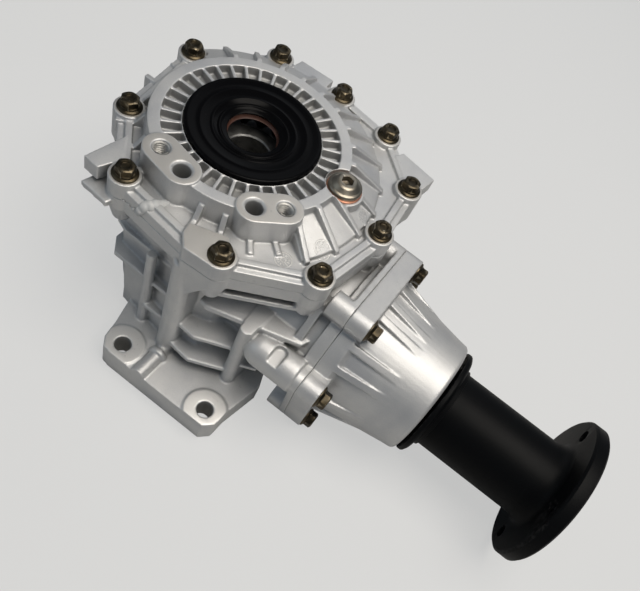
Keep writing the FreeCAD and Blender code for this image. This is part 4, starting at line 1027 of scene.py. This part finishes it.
@dataclass
class OutputFlange(Group):
    """Companion flange with its tube, bolt disc, deflector ring and nut.

    flare and ring_neck hold points outwards from the tube, ring_lip inwards from the ring's edge.
    """

    tube_r: float = 33.0
    bore_r: float = 24.0
    disc_r: float = 62.0
    disc_t: float = 12.0
    disc_round: float = 1.8
    flare: Outline = ((0.0, 12.0), (0.35, 8.0), (1.3, 4.6), (2.9, 1.9), (5.0, 0.5), (7.0, 0.0))
    pilot_r: float = 30.0
    pilot_d: float = 4.0
    pilot_bevel: float = 0.6
    hub_r: float = 22.0
    hub_x: float = 186.0
    spline_r: float = 15.02
    well_r: float = 19.6
    nut_x: float = 205.0
    pcd: float = 98.0
    hole_r: float = 5.25
    holes: int = 4
    ring_x: float = NOSE_X + 4.5
    ring_r: float = 46.0
    ring_lip: Outline = (
        (4.0, 0.0), (2.6, -0.8), (2.0, -2.0), (0.4, -2.0), (0.0, -1.6), (0.0, 1.0), (0.6, 2.0), (3.0, 3.5))
    ring_neck: Outline = ((4.0, 3.5), (2.9, 3.9), (2.2, 5.0), (2.0, 8.0), (0.02, 8.0))
    nut_flats: float = 30.0
    nut_h: float = 13.0
    nut_face_r: float = 14.6
    nut_bevel: float = 2.5
    nut_collar: Outline = ((19.0, 0.0), (19.0, 1.0), (17.0, 3.0))
    nut_hex_z: float = 2.0
    nut_bore_r: float = 12.02
    steps: int = 128

    def build(self) -> None:
        """Make the flange, its deflector ring and the nut."""
        self.fitter.fit(self.flange(), "output_rotor", "black_satin", SATIN_BLACK, "companion_flange")
        self.fitter.fit(self.ring(), "output_rotor", "black_satin", SATIN_BLACK, "flange_dust_ring")
        self.fitter.fit(self.nut(), "output_rotor", "bolt_steel", OLIVE_ZINC, "pinion_nut")

    def flange(self) -> Piece:
        """Turn the flange and drill its disc.

        Returns:
            The flange in its place.
        """
        face, back, edge = FLANGE_FACE_X, FLANGE_FACE_X - self.disc_t, self.disc_round
        outline = [(self.spline_r, self.hub_x), (self.hub_r - 1, self.hub_x), (self.hub_r, self.hub_x + 1),
                   (self.hub_r, NOSE_X - 6), (self.tube_r - 3, NOSE_X + 1), (self.tube_r, NOSE_X + 4)]
        outline += [(self.tube_r + out, back - before) for out, before in self.flare]
        outline += [(self.disc_r - edge, back), (self.disc_r, back + edge),
                    (self.disc_r, face - edge), (self.disc_r - edge, face)]
        outline += [(self.pilot_r + self.pilot_bevel, face), (self.pilot_r, face - self.pilot_bevel),
                    (self.pilot_r, face - self.pilot_d)]
        outline += [(self.bore_r + 1, face - self.pilot_d), (self.bore_r, face - self.pilot_d - 1),
                    (self.bore_r, NOSE_X + 4), (self.well_r, NOSE_X - 2), (self.well_r, self.nut_x),
                    (self.spline_r, self.nut_x)]
        flange = Bench.lathe("companion_flange_forging", outline, self.steps)
        for i in range(self.holes):
            a = math.radians(45 + 360 * i / self.holes)
            x, y = self.pcd / 2 * math.cos(a), self.pcd / 2 * math.sin(a)
            Bench.carve(flange, Bench.prism("drill", 40, self.hole_r, 40, (x, y, face)))
        Bench.round_edges(flange, 0.6, 3, 30.0)
        Bench.smooth(flange, 32.0)
        Bench.place(flange, (0, OUTPUT_Y, OUTPUT_Z), Axis.ALONG_X)
        return flange

    def ring(self) -> Piece:
        """Press the deflector ring.

        Returns:
            The ring in its place.
        """
        x = self.ring_x
        outline = [(self.tube_r + self.ring_neck[-1][0], x)]
        outline += [(self.ring_r - inset, x + along) for inset, along in self.ring_lip]
        outline += [(self.tube_r + out, x + along) for out, along in self.ring_neck]
        ring = Bench.lathe("flange_dust_ring_pressing", outline, self.steps)
        Bench.round_edges(ring, 0.3, 2, 30.0)
        Bench.smooth(ring, 36.0)
        Bench.place(ring, (0, OUTPUT_Y, OUTPUT_Z), Axis.ALONG_X)
        return ring

    def nut(self) -> Piece:
        """Cut the pinion nut with chamfered corners and a collar.

        Returns:
            The nut in its place.
        """
        corner, top, low = self.nut_flats / math.sqrt(3), self.nut_h, self.nut_hex_z
        nut = Bench.prism("pinion_nut_hexagon", 6, corner, top - low, (0, 0, (top + low) / 2))
        wide, bevel_z = corner + 1, top - self.nut_bevel
        cone = [(0, -1), (wide, -1), (wide, bevel_z), (self.nut_face_r, top), (0, top)]
        collar = [(0, 0), *self.nut_collar, (0, self.nut_collar[-1][1])]
        bore = [(0, -2), (self.nut_bore_r, -2), (self.nut_bore_r, top + 2), (0, top + 2)]
        Bench.carve(nut, Bench.lathe("cone", cone, 64), "INTERSECT")
        Bench.carve(nut, Bench.lathe("collar", collar, 64), "UNION")
        Bench.carve(nut, Bench.lathe("bore", bore, 64))
        Bench.round_edges(nut, 0.3, 2, 30.0)
        Bench.smooth(nut)
        Bench.place(nut, (self.nut_x, OUTPUT_Y, OUTPUT_Z), Axis.ALONG_X)
        return nut


# ======== small detail
@dataclass
class SmallDetail(Group):
    """Threads in the tapped bracket holes, and sealant that was pressed out of the cover joint.

    smear holds the place and radius of each blob of sealant.
    """

    taps: tuple[tuple[str, Point2], ...] = (("left", (-29.1, -62.0)), ("right", (56.7, -40.3)))
    pitch: float = 2.0
    thread_r: float = 6.08
    crest_r: float = 4.95
    crest_share: float = 0.5
    root_share: float = 0.92
    turns: int = 10
    mouth: float = 1.6
    smear: tuple[tuple[float, float, float, float], ...] = (
        (-16.5, -94.4, 146.0, 2.8), (-15.0, -94.4, 149.0, 3.4), (-13.5, -92.5, 151.6, 4.0),
        (-11.5, -90.0, 152.2, 4.2), (-10.0, -87.0, 152.4, 4.2), (-8.5, -84.0, 151.6, 3.8),
        (-7.5, -81.0, 151.4, 3.2), (-6.0, -79.5, 152.0, 2.2), (-15.0, -87.5, 152.0, 3.0),
        (-21.0, -94.2, 144.2, 1.5), (-25.5, -93.6, 143.8, 1.2), (-30.0, -93.0, 143.7, 1.0))
    smear_voxel: float = 0.35
    smear_relax: int = 14

    def thread(self, name: str, at: Point2) -> Piece:
        """Wind a thread ridge down a hole from just under its mouth.

        Args:
            name: The piece's name.
            at: The hole's place.

        Returns:
            The ridge in its place.
        """
        pitch = self.pitch
        ridge = Bench.line(name, [(self.thread_r, 0, 0), (self.thread_r, 0, pitch * self.root_share),
                                  (self.crest_r, 0, pitch * self.crest_share)])
        Bench.edit(ridge)
        bpy.ops.mesh.edge_face_add()
        bpy.ops.object.mode_set(mode="OBJECT")
        Bench.modify(ridge, "SCREW", angle=2 * math.pi, screw_offset=pitch * MM, iterations=self.turns,
                     steps=40, render_steps=40, axis="Z", use_merge_vertices=False)
        Bench.edit(ridge)
        Bench.seal_up()
        Bench.smooth(ridge, 25.0)
        Bench.place(ridge, (*at, BOSS_TOP_Z - self.mouth - self.turns * pitch))
        return ridge

    def sealant(self) -> Piece:
        """Run blobs together into the smear.

        Returns:
            The smear in its place.
        """
        blobs = []
        for x, y, z, radius in self.smear:
            Bench.clear()
            bpy.ops.mesh.primitive_ico_sphere_add(subdivisions=3, radius=radius * MM,
                                                  location=(x * MM, y * MM, z * MM))
            blobs.append(Bench.added("blob"))
        smear = Bench.join("sealant_smear", *blobs)
        Bench.modify(smear, "REMESH", mode="VOXEL", voxel_size=self.smear_voxel * MM, use_smooth_shade=True)
        Bench.modify(smear, "SMOOTH", factor=0.5, iterations=self.smear_relax)
        Bench.smooth(smear, 60.0)
        return smear

    def build(self) -> None:
        """Make the threads and the smear of sealant."""
        for side, at in self.taps:
            self.fitter.fit(self.thread(f"bracket_thread_{side}", at), "case", "cast_alloy", THREAD_STEEL_PAINTED_SHADE)
        self.fitter.fit(self.sealant(), "case", "cast_alloy", SEALANT)


# ======== studio
@dataclass(frozen=True)
class Softbox:
    """A square softbox: its place, the point it faces and its side in metres, its watts and tint."""

    name: str
    at: Point3
    aim: Point3
    size: float
    watts: float
    tint: RGB

    def hang(self) -> None:
        """Hang the lamp and turn it to its point."""
        data = bpy.data.lights.new(self.name, "AREA")
        data.shape = "SQUARE"
        data.size = self.size
        data.energy = self.watts
        data.color = self.tint
        lamp = bpy.data.objects.new(self.name, data)
        bpy.context.scene.collection.objects.link(lamp)
        lamp.location = self.at
        lamp.rotation_mode = "QUATERNION"
        lamp.rotation_quaternion = (Vector(self.aim) - Vector(self.at)).to_track_quat("-Z", "Y")


@dataclass
class Studio:
    """Pale floor, soft light and the camera, in metres."""

    eye: Point3 = (0.15468, -0.32322, 0.50299)
    right: Point3 = (0.7891, 0.5383, 0.2959)
    up: Point3 = (-0.6096, 0.6278, 0.4835)
    back: Point3 = (0.0745, -0.5620, 0.8237)
    lens: float = 38.05
    sensor: float = 36.0
    clip: Point2 = (0.02, 50.0)
    shift: Point2 = (-0.00175, 0.0525)
    floor_size: float = 60.0
    floor_drop: float = 0.0003
    floor_colour: RGB = (0.55, 0.55, 0.545)
    floor_patch: RGB = (0.52, 0.52, 0.515)
    floor_cloud: Grain = Grain(3.0, 2.0, 0.5)
    floor_roughness: float = 0.9
    backdrop: RGB = (0.84, 0.84, 0.83)
    backdrop_share: float = 0.62
    backdrop_strength: float = 0.85
    air_colour: RGB = (0.76, 0.87, 1.0)
    air_strength: float = 0.15
    lamps: tuple[Softbox, ...] = (
        Softbox("key_softbox", (0.42, -0.02, 1.30), (0.08, -0.01, 0.10), 0.9, 14.0, (1.0, 0.94, 0.86)),
        Softbox("fill_softbox", (-0.80, -0.75, 0.75), (0.05, -0.03, 0.08), 0.9, 1.2, (0.78, 0.90, 1.0)),
        Softbox("back_softbox", (-0.15, 1.10, 0.80), (0.05, 0.0, 0.10), 0.8, 1.3, (0.95, 0.97, 1.0)))

    def camera(self) -> None:
        """Place the camera."""
        data = bpy.data.cameras.new("camera")
        data.sensor_width = self.sensor
        data.lens = self.lens
        data.shift_x, data.shift_y = self.shift
        data.clip_start, data.clip_end = self.clip
        camera = bpy.data.objects.new("camera", data)
        bpy.context.scene.collection.objects.link(camera)
        turn = Matrix((self.right, self.up, self.back)).transposed().to_4x4()
        camera.matrix_world = Matrix.Translation(self.eye) @ turn
        bpy.context.scene.camera = camera

    def floor(self) -> None:
        """Lay the floor under the case; the camera sees some of the backdrop's glow in it."""
        Bench.clear()
        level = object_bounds()[0].z - self.floor_drop
        bpy.ops.mesh.primitive_plane_add(size=self.floor_size, location=(0.0, 0.0, level))
        floor = Bench.added("floor")
        desk = Desk("pale_floor")
        tone = desk.blend(self.floor_colour, self.floor_patch, desk.noise(self.floor_cloud))
        floor.data.materials.append(desk.finish(Base_Color=tone, Roughness=self.floor_roughness))
        glow = desk.add("ShaderNodeEmission", {}, {"Color": self.backdrop, "Strength": 1.0})
        seen = desk.signal("ShaderNodeLightPath", {}, {}) * self.backdrop_share
        mixed = desk.add("ShaderNodeMixShader", {}, {0: seen, 1: desk.shader.outputs[0], 2: glow.outputs[0]})
        desk.tree.links.new(mixed.outputs[0], desk.output.inputs["Surface"])
        floor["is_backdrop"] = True

    def air(self) -> None:
        """Set the pale background and the even light from all round."""
        world = bpy.data.worlds.new("studio_air")
        world.use_nodes = True
        bpy.context.scene.world = world
        tree = world.node_tree
        tree.nodes.clear()
        output = tree.nodes.new("ShaderNodeOutputWorld")
        path = tree.nodes.new("ShaderNodeLightPath")
        mix = tree.nodes.new("ShaderNodeMixShader")
        tree.links.new(path.outputs["Is Camera Ray"], mix.inputs[0])
        shares = ((self.air_colour, self.air_strength), (self.backdrop, self.backdrop_strength))
        for i, (colour, strength) in enumerate(shares):
            light = tree.nodes.new("ShaderNodeBackground")
            light.inputs["Color"].default_value = (*colour, 1.0)
            light.inputs["Strength"].default_value = strength
            tree.links.new(light.outputs[0], mix.inputs[1 + i])
        tree.links.new(mix.outputs[0], output.inputs["Surface"])

    def build(self) -> None:
        """Set up the camera, floor, background and lamps."""
        bpy.context.scene.view_settings.view_transform = "Standard"
        self.camera()
        self.floor()
        self.air()
        for lamp in self.lamps:
            lamp.hang()


# ======== solids that stay
@dataclass
class CarriedNodes(Group):
    """Solids that keep their own shape and only get a finish."""

    finishes: tuple[tuple[Finish, tuple[str, ...]], ...] = (
        (GEAR_STEEL_PAINTED_SHADE, ("input_shaft", "ring_gear", "drive_pinion")),
        (OLIVE_ZINC, ("ring_gear_bolts",)),
        (SEAL_BROWN, ("input_seal", "pinion_seal", "pinion_housing_o_ring")),
        (GROUND_STEEL, ("crush_spacer", "bearing_preload_shim", "pinion_depth_shim", "locating_dowels")))

    def build(self) -> None:
        """Dress every carried-over solid."""
        for finish, names in self.finishes:
            for name in names:
                self.fitter.dress_node(name, finish)
        for bearing in ("lower", "upper", "pinion_head", "pinion_tail"):
            for ring in ("cone", "cup", "rollers"):
                self.fitter.dress_node(f"{bearing}_bearing_{ring}", GROUND_STEEL)


def main() -> None:
    """Build every group in order, then the studio."""
    logging.basicConfig(level=logging.INFO, format="%(name)s: %(message)s")
    fitter = Fitter()
    for kind in (Castings, FlangeBolts, Plugs, ShieldAndSeal, OutputFlange, SmallDetail, CarriedNodes):
        kind(fitter).build()
        LOG.info("%s done", kind.__name__)
    Studio().build()
    LOG.info("%d pieces made", fitter.count)


if __name__ == "__main__":
    main()
